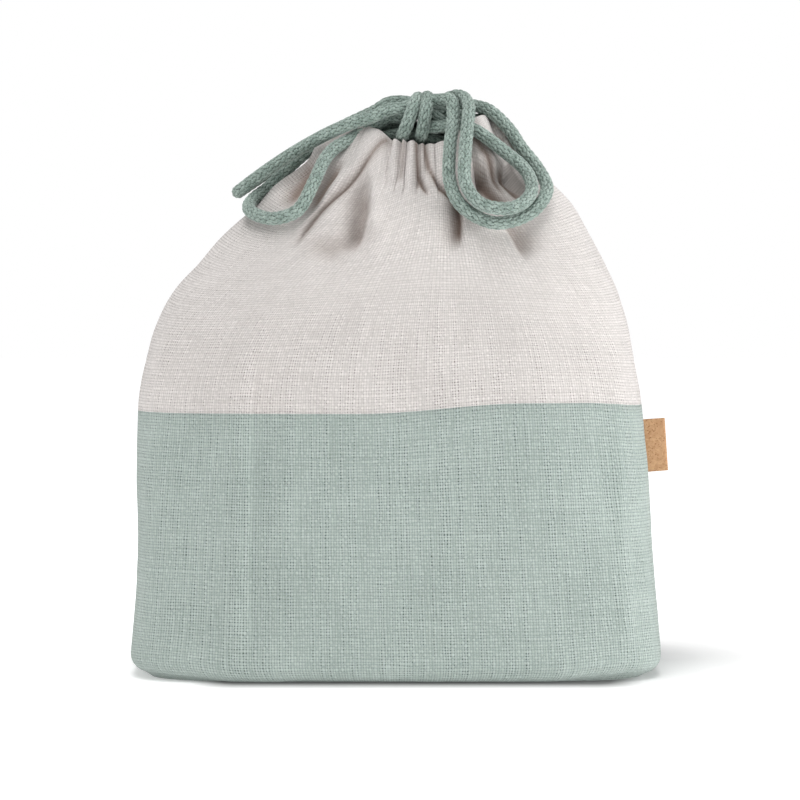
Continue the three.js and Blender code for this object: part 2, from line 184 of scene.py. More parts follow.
def speckle(tree, place, scale, detail):
    """Noise at a place, with its scale and its detail."""
    inputs = {"Vector": place, "Scale": scale, "Detail": detail}
    return add_node(tree, "ShaderNodeTexNoise", inputs).outputs[0]


def mix_value(tree, share, first, second):
    """Blend two values by a share."""
    return add_node(tree, "ShaderNodeMix", {0: share, 2: first, 3: second}).outputs[0]


def mix_colour(tree, share, first, second):
    """Blend two colours by a share."""
    return add_node(tree, "ShaderNodeMix", {0: share, 6: first, 7: second}, data_type="RGBA").outputs[2]

# %% Materials and colours
def finish_shader(tree, shader, colour, height, strength, depth, constants):
    """Link the colour and a bump to a shader and set the values that are the same all over."""
    bump = add_node(tree, "ShaderNodeBump", {"Height": height, "Strength": strength, "Distance": depth})
    tree.links.new(colour, shader.inputs["Base Color"])
    tree.links.new(bump.outputs[0], shader.inputs["Normal"])
    for name, value in constants.items():
        shader.inputs[name].default_value = value


def new_material(name):
    """An empty material with its Principled shader and its node tree."""
    material = bpy.data.materials.new(name)
    material.use_nodes = True
    tree = material.node_tree
    return material, tree, tree.nodes["Principled BSDF"]


def srgb(red, green, blue):
    """A colour as it is read off a screen, 0 to 255, turned into linear light."""
    def linear(value):
        value /= 255
        return value / 12.92 if value <= 0.04045 else ((value + 0.055) / 1.055) ** 2.4
    return (linear(red), linear(green), linear(blue), 1.0)

# %% [markdown]
# ## Cord finish
# The cord is round braided cotton, a darker sage than the cloth. The braid itself is geometry. The
# finish adds what is smaller: fibres that run along each strand, mottled crests and painted shade in
# the valleys between the strands. How deep a point lies in the braid is stored on the mesh, so that
# the painted shade follows the shape.

# %% Cord material
CORD_LIGHT = srgb(165, 181, 173)
CORD_DARK = srgb(112, 130, 121)
CORD_VALLEY_SHADE = srgb(44, 56, 51)
COTTON = {"Roughness": 0.92, "Specular IOR Level": 0.2, "Sheen Weight": 0.25, "Sheen Roughness": 0.6}


def make_cord_material():
    """Braided cotton, with painted shade between the strands."""
    material, tree, shader = new_material("sage_cord")
    depth = add_node(tree, "ShaderNodeAttribute", attribute_name="braid").outputs["Fac"]
    place = add_node(tree, "ShaderNodeTexCoord").outputs["Object"]
    fibre = speckle(tree, place, 1700.0, 4.0)
    patch = speckle(tree, place, 420.0, 3.0)
    mottle = ramp(tree, math_node(tree, "ADD", fibre, patch), 0.75, 1.25)
    crest = mix_colour(tree, mottle, CORD_DARK, CORD_LIGHT)
    fuzz = math_node(tree, "MULTIPLY_ADD", fibre, 0.8, -0.4)
    height = math_node(tree, "ADD", depth, fuzz)
    # Painted shade: where the braid lies low, the colour turns to the dark valley colour.
    colour = mix_colour(tree, ramp(tree, height, 0.1, 0.62), CORD_VALLEY_SHADE, crest)
    finish_shader(tree, shader, colour, fibre, 0.8, 0.5 * MM, COTTON)
    return material


cord_material = make_cord_material()
print("made", cord_material.name)

# %% [markdown]
# ## Routes of the cords
# Two cords run round the mouth. Both ends of each come out at its own side and are tied to the other
# pair in a bow, so that every ear is two loops. The points are given in millimetres and are the same
# as those of the solids. A smooth curve goes through them.

# %% Cord routes
CORD = 5.6 * MM
KNOT_LEFT, KNOT_RIGHT, KNOT_BACK = 2.7, 14.3, 4.3
left_long_loop = [
    (KNOT_LEFT, -11, 222), (-2, -10.8, 221.6), (-9, -10.5, 218.8), (-15.5, -10.5, 216.8),
    (-25, -10, 213), (-39, -9.8, 205.4), (-52, -8.8, 196.9), (-62.6, -1.4, 189.4), (-55.5, 6, 194.6),
    (-40.5, 7.4, 204.5), (-24.5, 7, 213), (-14.5, 5.6, 217.9), (-9, 3.8, 220.9), (-5.5, 2.6, 223.1),
    (-2, 1.2, 224.8), (KNOT_LEFT, 0.9, 225)]
left_wide_loop = [
    (KNOT_LEFT, -5, 224.8), (-3, -4.8, 224.3), (-8, -2.8, 221.4), (-14, -1.8, 218.6),
    (-23, -1.2, 214.2), (-32, -1.2, 208), (-41.5, -1.4, 200), (-50, -2.6, 191.6), (-57, -9, 185.6),
    (-56.5, -21, 181.2), (-47, -31.4, 178.4), (-38, -33.5, 181.5), (-32, -29.5, 192), (-28, -21.5, 201),
    (-24, -14.5, 206.2), (-17.5, -8.8, 210.2), (-13, -6.4, 213), (-8, -4.8, 215.6), (-3, -4.1, 218.8),
    (KNOT_LEFT, -4, 219)]
right_outer_loop = [
    (KNOT_RIGHT, -11, 225), (17.5, -11.2, 225.2), (21.5, -14.5, 225), (22.3, -19.5, 216.5),
    (21, -26, 206.5), (21, -32.5, 192), (26, -37.5, 182.5), (38, -39, 176.6), (51.8, -33.6, 180.4),
    (58.8, -24.5, 189.8), (55.3, -17.5, 198.4), (49.2, -13.8, 206.4), (44.4, -11.5, 213.8),
    (36.5, -7, 221.4), (30, -1.6, 223.6), (25, 1, 224.4), (19, 1, 225), (KNOT_RIGHT, 0.8, 225)]
right_inner_loop = [
    (KNOT_RIGHT, -5.1, 225), (17.5, -5.1, 225.2), (24.5, -8, 227), (28.3, -17, 223), (27.8, -24.4, 214),
    (26.8, -30.4, 203.6), (27, -36.6, 191.6), (32.8, -42, 183.8), (44, -41.6, 182.2),
    (52.2, -31.8, 188), (51, -23.5, 196.5), (40, -20.5, 206.5), (31, -18, 213), (22.5, -13.8, 215.2),
    (17.5, -11.2, 214.8), (KNOT_RIGHT, -11, 214.6)]
tail_upper_strand = [
    (5.6, KNOT_BACK, 222), (5.5, 8.5, 222), (3.5, 17, 218), (0.5, 25, 207), (-2.5, 31, 195.5),
    (-4.2, 37, 185.5), (-5, 43.5, 177.5), (-5, 46.8, 171.5)]
tail_lower_strand = [
    (5.6, KNOT_BACK, 215.6), (5.4, 8.5, 215.6), (-2.5, 17, 211), (-7.5, 24, 201.5), (-9.5, 30, 191.5),
    (-10.8, 36, 183), (-11, 43, 176.5), (-11, 46.8, 171.5)]
left_exit = [
    (-12.5, -5.4, 206.4), (-13.5, -2.4, 208.6), (-8.5, -2.2, 210), (-2, -4.6, 211.6),
    (KNOT_LEFT, -5, 212)]
left_back_exit = [
    (-12.5, 5.6, 206.6), (-13.5, 4, 210), (-8.5, 3.6, 213.8), (-2, 1.2, 215.3), (KNOT_LEFT, 0.8, 215.4)]
right_exit = [
    (36.5, -10.2, 201.4), (40.5, -7.4, 204), (44, -5.2, 208.8), (43, -2.8, 214), (36.5, -1.4, 217.8),
    (30, -2.6, 217.5), (24, -4.2, 216.2), (19, -4.9, 214.8), (KNOT_RIGHT, -4.9, 214.4)]
right_back_exit = [
    (36.5, 10.2, 201.4), (40.5, 7.4, 204), (44, 5.2, 208.8), (42.8, 4.2, 213.6), (36, 4, 215.6),
    (27, 2.8, 215.4), (20, 1.4, 214.4), (KNOT_RIGHT, 1.1, 214.2)]


def other_side(points):
    """The right tail is the left one mirrored about the middle of the knot."""
    return [(KNOT_LEFT + KNOT_RIGHT - x, y, z) for x, y, z in points]

# %% [markdown]
# ## Shape of the cloth
# Filled, the bag is a rounded box that leans a little to the left, drawn in to a small oval mouth.
# The same few sizes that shape the solids shape the cloth here: an outline between a rectangle and
# an ellipse for every height of the wall, and a curve that leads from the wall up into the mouth.

# %% Sizes of the bag, in millimetres
BASE_WIDTH, BASE_DEPTH = 210, 104
WAIST_WIDTH, WAIST_DEPTH = 200, 96
WAIST_HEIGHT = 104
WAIST_SHIFT = -2.5
BASE_SQUARENESS, WAIST_SQUARENESS = 5, 3.6
BASE_EDGE = 8
MOUTH_WIDTH, MOUTH_DEPTH, MOUTH_SHIFT = 60, 30, 11
RIM_FRONT, RIM_SIDE = 208.5, 216
TILT_FRONT, TILT_LEFT, TILT_RIGHT = math.radians(30), math.radians(50), math.radians(43)
CORD_SLOT = math.radians(46)
BELLY_RISE, NECK_RUN_LEFT, NECK_RUN_RIGHT = 50, 50, 40
CASING_THICKNESS, CASING_HEIGHT = 8.8, 15.0
CORD_RISE = 3.1


def casing_station(angle):
    """The middle of the casing at an angle round the mouth, and its upward and outward directions."""
    side = math.cos(angle) ** 2
    tilt = mix(TILT_FRONT, TILT_LEFT if math.cos(angle) < 0 else TILT_RIGHT, side)
    outward = Vector((math.cos(angle) / MOUTH_WIDTH, math.sin(angle) / MOUTH_DEPTH, 0)).normalized()
    upright = Vector((0, 0, 1))
    rise = upright * math.cos(tilt) - outward * math.sin(tilt)
    face = outward * math.cos(tilt) + upright * math.sin(tilt)
    drop = CASING_HEIGHT / 2 * math.cos(tilt) + CASING_THICKNESS / 2 * math.sin(tilt)
    middle = Vector((
        MOUTH_SHIFT + MOUTH_WIDTH / 2 * math.cos(angle),
        MOUTH_DEPTH / 2 * math.sin(angle),
        mix(RIM_FRONT, RIM_SIDE, side) - drop))
    return middle, rise, face


print("casing middle at the front:", [round(v, 1) for v in casing_station(-math.pi / 2)[0]])

# %% [markdown]
# ## Braided cord
# A round braid has strands that wind both ways, and each passes over two others and then under two.
# A flat grid is rolled along the route into a tube. Then each point is sunk by how far it lies from
# the crest of the strand that is on top there. Every strand is two yarns, with a groove between them.

# %% A smooth route through points
CURVE_STEPS = 24
ROUTE_STEP = 0.36


def smooth_route(points):
    """Points in metres, evenly spaced along a smooth curve through points in millimetres."""
    points = [Vector(p) for p in points]
    points = [points[0] * 2 - points[1]] + points + [points[-1] * 2 - points[-2]]
    dense = []
    for a, b, c, d in zip(points, points[1:], points[2:], points[3:]):
        # Centripetal spacing keeps the curve from overshooting where points lie close together.
        t1 = (b - a).length ** 0.5
        t2 = t1 + (c - b).length ** 0.5
        t3 = t2 + (d - c).length ** 0.5
        for i in range(CURVE_STEPS):
            t = mix(t1, t2, i / CURVE_STEPS)
            ab = a.lerp(b, t / t1)
            bc = b.lerp(c, (t - t1) / (t2 - t1))
            cd = c.lerp(d, (t - t2) / (t3 - t2))
            abc, bcd = ab.lerp(bc, t / t2), bc.lerp(cd, (t - t1) / (t3 - t1))
            dense.append(abc.lerp(bcd, (t - t1) / (t2 - t1)))
    dense.append(points[-2])
    travelled = runs_of(dense)
    count = max(2, round(travelled[-1] / ROUTE_STEP))
    even = []
    at = 0
    for i in range(count + 1):
        target = travelled[-1] * i / count
        while at < len(dense) - 2 and travelled[at + 1] < target:
            at += 1
        run = travelled[at + 1] - travelled[at]
        even.append(dense[at].lerp(dense[at + 1], (target - travelled[at]) / run) * MM)
    return even

# %% The braid and the tube
STRANDS = 10
STRAND_STEP = 2.8 * MM
BRAID_DEPTH = 0.55 * MM
CORD_PUFF = -0.1 * MM
AROUND = 64
SEAM_REACH = 0.02 * MM
# No cord starts along this direction, so it can tell which way the first side of a tube points.
ODD_DIRECTION = (0.3, 0.2, 1)


def braid_height(along, turn):
    """0 in the valleys and 1 on the crests of the braid; turn runs from 0 to 1 round the cord."""
    right = turn * STRANDS + along / STRAND_STEP
    left = turn * STRANDS - along / STRAND_STEP
    place = (math.floor(right) + math.floor(left)) % 4
    if place < 2:
        across, onward = right % 1, (place + left % 1) / 2
    else:
        across, onward = left % 1, (place - 2 + right % 1) / 2
    yarns = 0.86 + 0.14 * abs(math.sin(2 * math.pi * across))
    edge = 0.42 + 0.58 * math.sin(math.pi * across) ** 0.6
    return yarns * edge * math.sin(math.pi * onward) ** 0.5


def braided_tube(maker, path, diameter=CORD, start=0.0):
    """Roll a grid along a path into a braided tube with closed ends, inside an open bmesh."""
    rows = len(path) - 1
    depth_layer = maker.verts.layers.float.get("braid") or maker.verts.layers.float.new("braid")
    grid = new_grid(maker, rows, AROUND)
    tangents = [(path[min(i + 1, rows)] - path[max(i - 1, 0)]).normalized() for i in range(rows + 1)]
    side = tangents[0].cross(Vector(ODD_DIRECTION)).normalized()
    frames = []
    for tangent in tangents:
        side = (side - tangent * side.dot(tangent)).normalized()
        frames.append((side, tangent.cross(side)))
    step = runs_of(path)[-1] / rows
    for vert, row, side_number in grid:
        turn = side_number / AROUND
        height = braid_height(start + row * step, turn)
        first, second = frames[row]
        angle = 2 * math.pi * turn
        radius = diameter / 2 + CORD_PUFF - BRAID_DEPTH * (1 - height)
        vert[depth_layer] = height
        vert.co = path[row] + (first * math.cos(angle) + second * math.sin(angle)) * radius
    bmesh.ops.remove_doubles(maker, verts=[vert for vert, row, side_number in grid], dist=SEAM_REACH)
    maker.edges.ensure_lookup_table()
    rims = [edge for edge in maker.edges if edge.is_boundary]
    bmesh.ops.holes_fill(maker, edges=rims, sides=0)
    bmesh.ops.recalc_face_normals(maker, faces=maker.faces)


print("braid height just beside a crossing:", round(braid_height(0.0, 0.03), 2))

# %% [markdown]
# ## The bow's ears, the tails and the runs round the mouth
# Each free length of cord is one tube. A rigid ear would leave the knot when it lifts, so the ears
# and the tails are given the points where they would bend from the bag to the bodies that move, and
# are left unattached. The runs inside the casing belong to the bag. The ends reach a little way into
# the knots, so that no cut end shows.


def cord_piece(name, points, body, start=0.0, bend=None):
    """One length of braided cord along a route, standing for the solid of its name."""
    path = smooth_route(points)
    maker = bmesh.new()
    braided_tube(maker, path, start=start)
    made = piece(name + "_cord", maker, cord_material, body, name, bend=bend)


# Where a lifted ear or tail starts to bend, beside the knot, and where it has turned all the way.
LEFT_EAR_BEND = ((3.5, -5, 221), (-14, -5, 221))
RIGHT_EAR_BEND = ((14, -8, 223.2), (29.2, -13.3, 219.4))
TAIL_BEND = ((8.5, 4, 219), (8.5, 17, 219))

# Each loop: its solid, its route, its two ends inside the knot and where its braid starts.
left_loops = (
    ("left_ear_long_loop", left_long_loop, (6, -10, 223.4), (7, 0.5, 224), 0.0),
    ("left_ear_wide_loop", left_wide_loop, (7, -5, 224), (7, -4.2, 219), 0.1))
right_loops = (
    ("right_ear_outer_loop", right_outer_loop, (10, -10, 223.5), (10, 0.4, 224), 0.2),
    ("right_ear_inner_loop", right_inner_loop, (10, -5, 224), (10, -9.5, 215.5), 0.3))
ears = (("left_ear", left_loops, LEFT_EAR_BEND), ("right_ear", right_loops, RIGHT_EAR_BEND))
for body, loops, bend in ears:
    for name, route, first, last, start in loops:
        cord_piece(name, [first] + route + [last], body, start, bend)

# %% Tails
UPPER_ROOT, LOWER_ROOT = (6.2, 0, 221), (6.2, 0, 216)
UPPER_TIE, LOWER_TIE = (-6.6, 47, 167.4), (-9.4, 47, 167.4)
tail_strands = (
    ("upper", [UPPER_ROOT] + tail_upper_strand + [UPPER_TIE]),
    ("lower", [LOWER_ROOT] + tail_lower_strand + [LOWER_TIE]))
for body, turned in (("left_tail", False), ("right_tail", True)):
    for which, points in tail_strands:
        route = other_side(points) if turned else points
        cord_piece(body + "_" + which + "_strand", route, body, bend=TAIL_BEND)

# %% Runs inside the casing
RUN_STEPS = 56


def held_run(start, end, rise):
    """Points in the middle of the casing, from one angle to another."""
    points = []
    for i in range(RUN_STEPS + 1):
        middle, up, face = casing_station(mix(start, end, i / RUN_STEPS))
        points.append(tuple(middle + up * rise))
    return points


left_run = list(reversed(left_exit))
left_run += held_run(math.pi + CORD_SLOT, 3 * math.pi - CORD_SLOT, CORD_RISE) + left_back_exit
right_run = list(reversed(right_exit))
right_run += held_run(-CORD_SLOT, CORD_SLOT - 2 * math.pi, -CORD_RISE) + right_back_exit
cord_piece("left_cord_casing_run", left_run, "bag")
cord_piece("right_cord_casing_run", right_run, "bag")

# %% [markdown]
# ## Knots
# The bow's knot is the cord itself: two turns wrap round the strands of both ears, and short strands
# cross below them, between them and behind. Each pair of tails ends in a small overhand knot with two
# cut ends.

# %% The bow's knot
left_wrap = [
    (8.4, 1.5, 224.8), (9, -4.5, 226.2), (8, -10.5, 225.2), (6.4, -13.8, 221), (4.4, -13.8, 215.4),
    (2.6, -11, 211.2), (2.4, -4.5, 209.6), (3.8, 1.6, 211.8), (5.4, 4.2, 217), (7, 3, 222)]
right_wrap = [
    (11.4, 1, 225.4), (12.2, -4.5, 226.6), (12.4, -10.5, 225.6), (11.8, -14, 221.4), (10.9, -14, 215.6),
    (10, -11.2, 211.4), (9.6, -4.5, 209.8), (10.2, 1.6, 211.9), (11, 4.4, 217), (11.4, 3, 222.4)]
low_strand = [(2, -5, 212.6), (7.5, -6.4, 211.4), (13.5, -6.8, 210), (19, -6, 208.8), (24, -3, 208)]
middle_strand = [(9, -6, 220), (14, -7, 219.4), (18, -6.4, 217), (22, -2, 214.5)]
back_strand = [
    (9, -1.4, 219), (14.5, -0.6, 220.2), (19, -0.6, 220.4), (24, -1.2, 220), (28, -1.6, 218.6)]

KNOT_BRAID_STEP = 0.07
knot = bmesh.new()
for number, points in enumerate((left_wrap, right_wrap, low_strand, middle_strand, back_strand)):
    braided_tube(knot, smooth_route(points), start=KNOT_BRAID_STEP * number)
piece("bow_knot_wraps", knot, cord_material, "bag", "bow_knot")

# %% End knots
KNOT_POINTS = 72
KNOT_REACH, KNOT_SWELL, KNOT_RISE = 2.6, 1.1, 2.6
KNOT_CORD, END_CORD = 4.6 * MM, 5 * MM


def overhand_knot(middle):
    """Points of a trefoil drawn tight about a middle."""
    points = []
    for i in range(KNOT_POINTS):
        t = 2 * math.pi * i / KNOT_POINTS
        reach = KNOT_REACH + KNOT_SWELL * math.cos(3 * t)
        points.append((
            middle.x + reach * math.cos(2 * t),
            middle.y + reach * math.sin(2 * t),
            middle.z + KNOT_RISE * math.sin(3 * t)))
    return points


def end_knot(name, body):
    """Two strands tied together: a tight knot and the ends that stick out below."""
    low, high = (Vector(corner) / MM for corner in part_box(name))
    middle = (low + high) / 2
    maker = bmesh.new()
    braided_tube(maker, smooth_route(overhand_knot(middle)), diameter=KNOT_CORD)
    for side in (-1, 1):
        end = [
            (middle.x + side * 1.8, middle.y, middle.z),
            (middle.x + side * 2.6, middle.y, low.z + 1),
            (middle.x + side * 3.4, middle.y + 0.5, low.z - 5)]
        braided_tube(maker, smooth_route(end), diameter=END_CORD, start=0.1 * side)
    piece(name + "_tied", maker, cord_material, body, name)


end_knot("left_end_knot", "left_tail")
end_knot("right_end_knot", "right_tail")

# %% [markdown]
# ## The cloth, as one loop
# The bag is one loop of linen, as wide as it was cut, all the way up. Where the cords draw it in, the
# width that is left over stands in pleats. A column of the cloth is named by its share of the loop:
# it starts at the left side seam, runs along the front to the right side seam and back behind. A
# place up the bag is a run in millimetres: below zero is the sage cloth, zero is the colour change.

# %% The smooth outline that the pleats touch
CLOTH_WIDTH = 590
RIM_ROLL = 1.2
HEM_INSIDE = 11
BELLY_ROWS, CASING_ROWS, RIM_ROWS, HEM_ROWS = 110, 8, 4, 4


def half_square(share):
    """A place on half of a square with the base's lengths: left side, front, right side."""
    along = share * (BASE_WIDTH + BASE_DEPTH)
    side = BASE_DEPTH / 2
    if along < side:
        return -1.0, -along / side
    if along > side + BASE_WIDTH:
        return 1.0, -(BASE_WIDTH + BASE_DEPTH - along) / side
    return -1 + 2 * (along - side) / BASE_WIDTH, -1.0


def wall_point(share, height, inset=0.0):
    """A point of the front half of the wall at a height, drawn in by an inset."""
    rise = height / WAIST_HEIGHT
    power = mix(BASE_SQUARENESS, WAIST_SQUARENESS, rise)
    u, w = half_square(share)
    reach = (abs(u) ** power + abs(w) ** power) ** (1 / power)
    x = (mix(BASE_WIDTH, WAIST_WIDTH, rise) / 2 - inset) * u / reach
    y = (mix(BASE_DEPTH, WAIST_DEPTH, rise) / 2 - inset) * w / reach
    return Vector((x + WAIST_SHIFT * rise, y, height))


def meridian(share):
    """One column of the upper front cloth: from the colour change up, over the rim and inside."""
    start = wall_point(share, WAIST_HEIGHT)
    u, w = half_square(share)
    angle = math.atan2(w, u)
    middle, up, face = casing_station(angle)
    neck_run = mix(NECK_RUN_LEFT, NECK_RUN_RIGHT, (1 + math.cos(angle)) / 2)
    end = middle - up * (CASING_HEIGHT / 2) + face * (CASING_THICKNESS / 2)
    lift = start * 2 - wall_point(share, WAIST_HEIGHT - BELLY_RISE)
    lean = end - up * neck_run
    points = []
    for i in range(BELLY_ROWS + 1):
        t = i / BELLY_ROWS
        a, b, c = start.lerp(lift, t), lift.lerp(lean, t), lean.lerp(end, t)
        points.append(a.lerp(b, t).lerp(b.lerp(c, t), t))
    for i in range(1, CASING_ROWS + 1):
        points.append(end + up * (CASING_HEIGHT - RIM_ROLL) * i / CASING_ROWS)
    top = end + up * (CASING_HEIGHT - RIM_ROLL)
    for i in range(1, RIM_ROWS + 1):
        turn = math.pi * i / RIM_ROWS
        points.append(top + up * RIM_ROLL * math.sin(turn) - face * RIM_ROLL * (1 - math.cos(turn)))
    for i in range(1, HEM_ROWS + 1):
        points.append(top - face * 2 * RIM_ROLL - up * HEM_INSIDE * i / HEM_ROWS)
    return points


front_middle = meridian(0.5)
for row in (0, BELLY_ROWS, BELLY_ROWS + CASING_ROWS):
    print("up the front, row", row, [round(v) for v in front_middle[row]])

# %% Even columns round the wall
EVEN_SAMPLES = 1200


def even_table():
    """How far round the front half of the wall each share of the square lies, from 0 to 1."""
    ring = [wall_point(i / EVEN_SAMPLES, WAIST_HEIGHT / 2) for i in range(EVEN_SAMPLES + 1)]
    reached = runs_of(ring)
    print("the wall is", round(2 * reached[-1]), "mm round at half its height")
    return [reach / reached[-1] for reach in reached]


wall_reach = even_table()


def even_share(reach):
    """The share of the square at an even distance round the front half."""
    at = min(EVEN_SAMPLES - 1, max(0, bisect.bisect_right(wall_reach, reach) - 1))
    step = wall_reach[at + 1] - wall_reach[at]
    return (at + (reach - wall_reach[at]) / step) / EVEN_SAMPLES

# %% [markdown]
# ## Pleats
# Every pleat has its own width, its own length and leans to one side. Its depth follows from the
# cloth that has to go somewhere: half a pleat is the long side of a triangle whose short side is half
# the room that the pleat gets round the mouth. A few large folds that the bow and the filling press
# into the cloth are listed one by one.

# %% Pleats
# Creases of the front at the mouth, by their x, and for the pleat to the right of each how far down it
# runs and how much of its cloth it shows.
FRONT_CREASES = (-22, -15.5, -3.8, 0.5, 3.4, 8.9, 11.6, 16, 22, 29, 41)
FRONT_REACHES = (24, 26, 30, 28, 30, 26, 26, 30, 34, 44)
FRONT_SHARES = (0.3, 0.15, 0.65, 0.75, 0.7, 0.4, 0.3, 0.5, 0.9, 0.7)
MOUTH_REACH = 34
OTHER_PLEATS = 20
PLEAT_SEED = 11
OTHER_WIDTHS, OTHER_REACHES, OTHER_LEAN = (0.55, 1.5), (24, 34, 46, 62), 0.5
PLEAT_WOBBLE, WOBBLE_ACROSS, WOBBLE_DOWN, WOBBLE_SEED = 0.0025, 90, 14, 3.1
PLEAT_ROUNDNESS = 0.7
CASING_RELIEF = 4.5
CORD_COVER = 1.2
# Distances below the rim: where the cords end, and from where on the pleats run out.
CORDS_END, PLEATS_FADE = (13, 24), 8


def column_at(x):
    """The column of the front that reaches the mouth at an x."""
    angle = -math.acos(max(-1.0, min(1.0, (x - MOUTH_SHIFT) / MOUTH_REACH)))
    u, w = math.cos(angle), math.sin(angle)
    if abs(u) <= -w:
        along = BASE_DEPTH / 2 + (1 - u / w) * BASE_WIDTH / 2
    elif u < 0:
        along = w / u * BASE_DEPTH / 2
    else:
        along = BASE_WIDTH + BASE_DEPTH + w / u * BASE_DEPTH / 2
    share = along / (BASE_WIDTH + BASE_DEPTH)
    return wall_reach[round(share * EVEN_SAMPLES)] / 2


pleat_dice = random.Random(PLEAT_SEED)
widths = [pleat_dice.uniform(*OTHER_WIDTHS) for i in range(OTHER_PLEATS)]
pleat_edges = [column_at(x) for x in FRONT_CREASES]
pleat_reach = list(FRONT_REACHES)
room = 1 - pleat_edges[-1] + pleat_edges[0]
for width in widths:
    pleat_edges.append(pleat_edges[-1] + room * width / sum(widths))
    pleat_reach.append(pleat_dice.choice(OTHER_REACHES))
pleat_lean = [pleat_dice.uniform(-OTHER_LEAN, OTHER_LEAN) for reach in pleat_reach]


def pleat_offset(column, below_rim, squeeze):
    """Depth into the bag and slip along it, for a column at a distance below the rim."""
    wobble = Vector((column * WOBBLE_ACROSS, below_rim / WOBBLE_DOWN, WOBBLE_SEED))
    column += PLEAT_WOBBLE * noise.noise(wobble)
    if column < pleat_edges[0]:
        column += 1
    number = max(i for i in range(len(pleat_reach)) if column >= pleat_edges[i] or i == 0)
    share = pleat_edges[number + 1] - pleat_edges[number]
    across = min(1.0, (column - pleat_edges[number]) / share)
    relief = 0.5 * share * CLOTH_WIDTH * math.sqrt(max(0.0, 1 - squeeze * squeeze))
    # Round the cords the cloth can't fold inwards, so there the pleats stand out instead.
    free = smoothstep(*CORDS_END, below_rim)
    relief = mix(min(relief, CASING_RELIEF), relief, free)
    relief *= 1 - smoothstep(PLEATS_FADE, pleat_reach[number], below_rim)
    if number < len(FRONT_REACHES):
        relief *= FRONT_SHARES[number]
    bulge = max(0.0, relief - mix(CORD_COVER, relief, free))
    hollow = relief * (1 - abs(math.sin(math.pi * across)) ** PLEAT_ROUNDNESS)
    return hollow - bulge, hollow * pleat_lean[number]


front_edges = [round(pleat_edges[i], 3) for i in (0, len(FRONT_REACHES))]
print("pleats:", len(pleat_reach), "front columns", front_edges)

# %% Large folds
# Each fold: its line in the front view (x, z), half its width to the left and to the right, how far it
# goes in (below nought: out), its sharpness (1 is a crease, 2 is a soft hollow) and how dark the
# painted shade in its hollow is.
LARGE_FOLDS = (
    (((-3.7, 208.2), (-13.8, 196.9), (-28.5, 182.6), (-35.6, 173.4), (-41, 165)), 1.0, 1.2, 2.4, 1.2, 0.85),
    (((-8, 209), (-18, 198), (-25.5, 189.5), (-33.5, 179)), 2.2, 2.2, -1.4, 2, 0),
    (((-20, 203), (-27.6, 190.6), (-35, 179)), 2.4, 1.4, 2.6, 1.6, 0.95),
    (((-30, 202), (-37, 192.5), (-45, 181)), 3.2, 2.8, 1.8, 2, 1.0),
    (((-30, 206), (-41, 198.5), (-60, 180)), 4.0, 4.0, -2.6, 2, 0),
    (((-11.6, 200), (-11.4, 181.5), (-13.4, 173.4), (-18, 163)), 7.0, 1.4, 5.0, 2, 0.55),
    (((-9, 179), (-17, 170.5), (-25, 167.5), (-40, 170)), 5.0, 4.0, 3.0, 2, 0.4),
    (((-8.6, 193), (-8.2, 182), (-9.4, 170)), 2.6, 4.0, -2.2, 2, 0),
    (((2.9, 207.3), (2.4, 197.4), (0.9, 191.5)), 1.2, 0.9, 1.4, 1.4, 0.5),
    (((8.3, 207.6), (8.8, 195.4), (10.4, 191.5), (13.5, 186)), 1.1, 1.0, 3.0, 1.3, 1.0),
    (((9.0, 194.5), (8.6, 190.2)), 0.9, 0.9, 0.8, 1.4, 0.6),
    (((11.3, 207.3), (12.8, 198.4), (16.7, 192), (21.6, 186.5), (27, 178)), 1.2, 0.9, 3.0, 1.3, 0.95),
    (((24.0, 190), (24.9, 178.5), (24.4, 166)), 3.6, 1.0, 3.8, 1.7, 1.0),
    (((20.5, 182), (21, 172), (24, 165)), 4.0, 3.0, 1.8, 2, 0.25),
    (((29.4, 205.6), (35.3, 199.2), (45, 185)), 1.8, 1.8, 2.8, 1.4, 0.95),
    (((28, 199), (38.2, 187.4), (50, 177)), 2.4, 3.0, 4.0, 1.8, 1.0),
    (((39, 201), (45.5, 193), (52, 184)), 2.8, 2.8, 2.8, 2, 1.0),
    (((39, 182), (45.5, 172), (51, 161)), 1.2, 6.5, 2.6, 2, 0.55),
    (((-58, 150), (-63, -60)), 6.0, 6.0, -1.6, 2, 0),
    (((-53, 150), (-57, -60)), 1.0, 9.0, 0.6, 2, 0.12),
    (((-77, 150), (-81, -60)), 12.0, 12.0, 2.8, 2, 0),
    (((84, 150), (91, -60)), 3.5, 3.5, -1.3, 2, 0))
# Heights and shares of a fold's line: folds that start above NEAR_RIM don't run in at their upper end.
NEAR_RIM = 204
RUN_IN, RUN_OUT = (0, 0.3), (0.65, 1)
# How many half widths a fold reaches, and where the folds end: towards the back and above the floor.
FOLD_REACH = 4.0
FOLD_SIDES, FOLD_FOOT = (-3, 10), (2, 20)


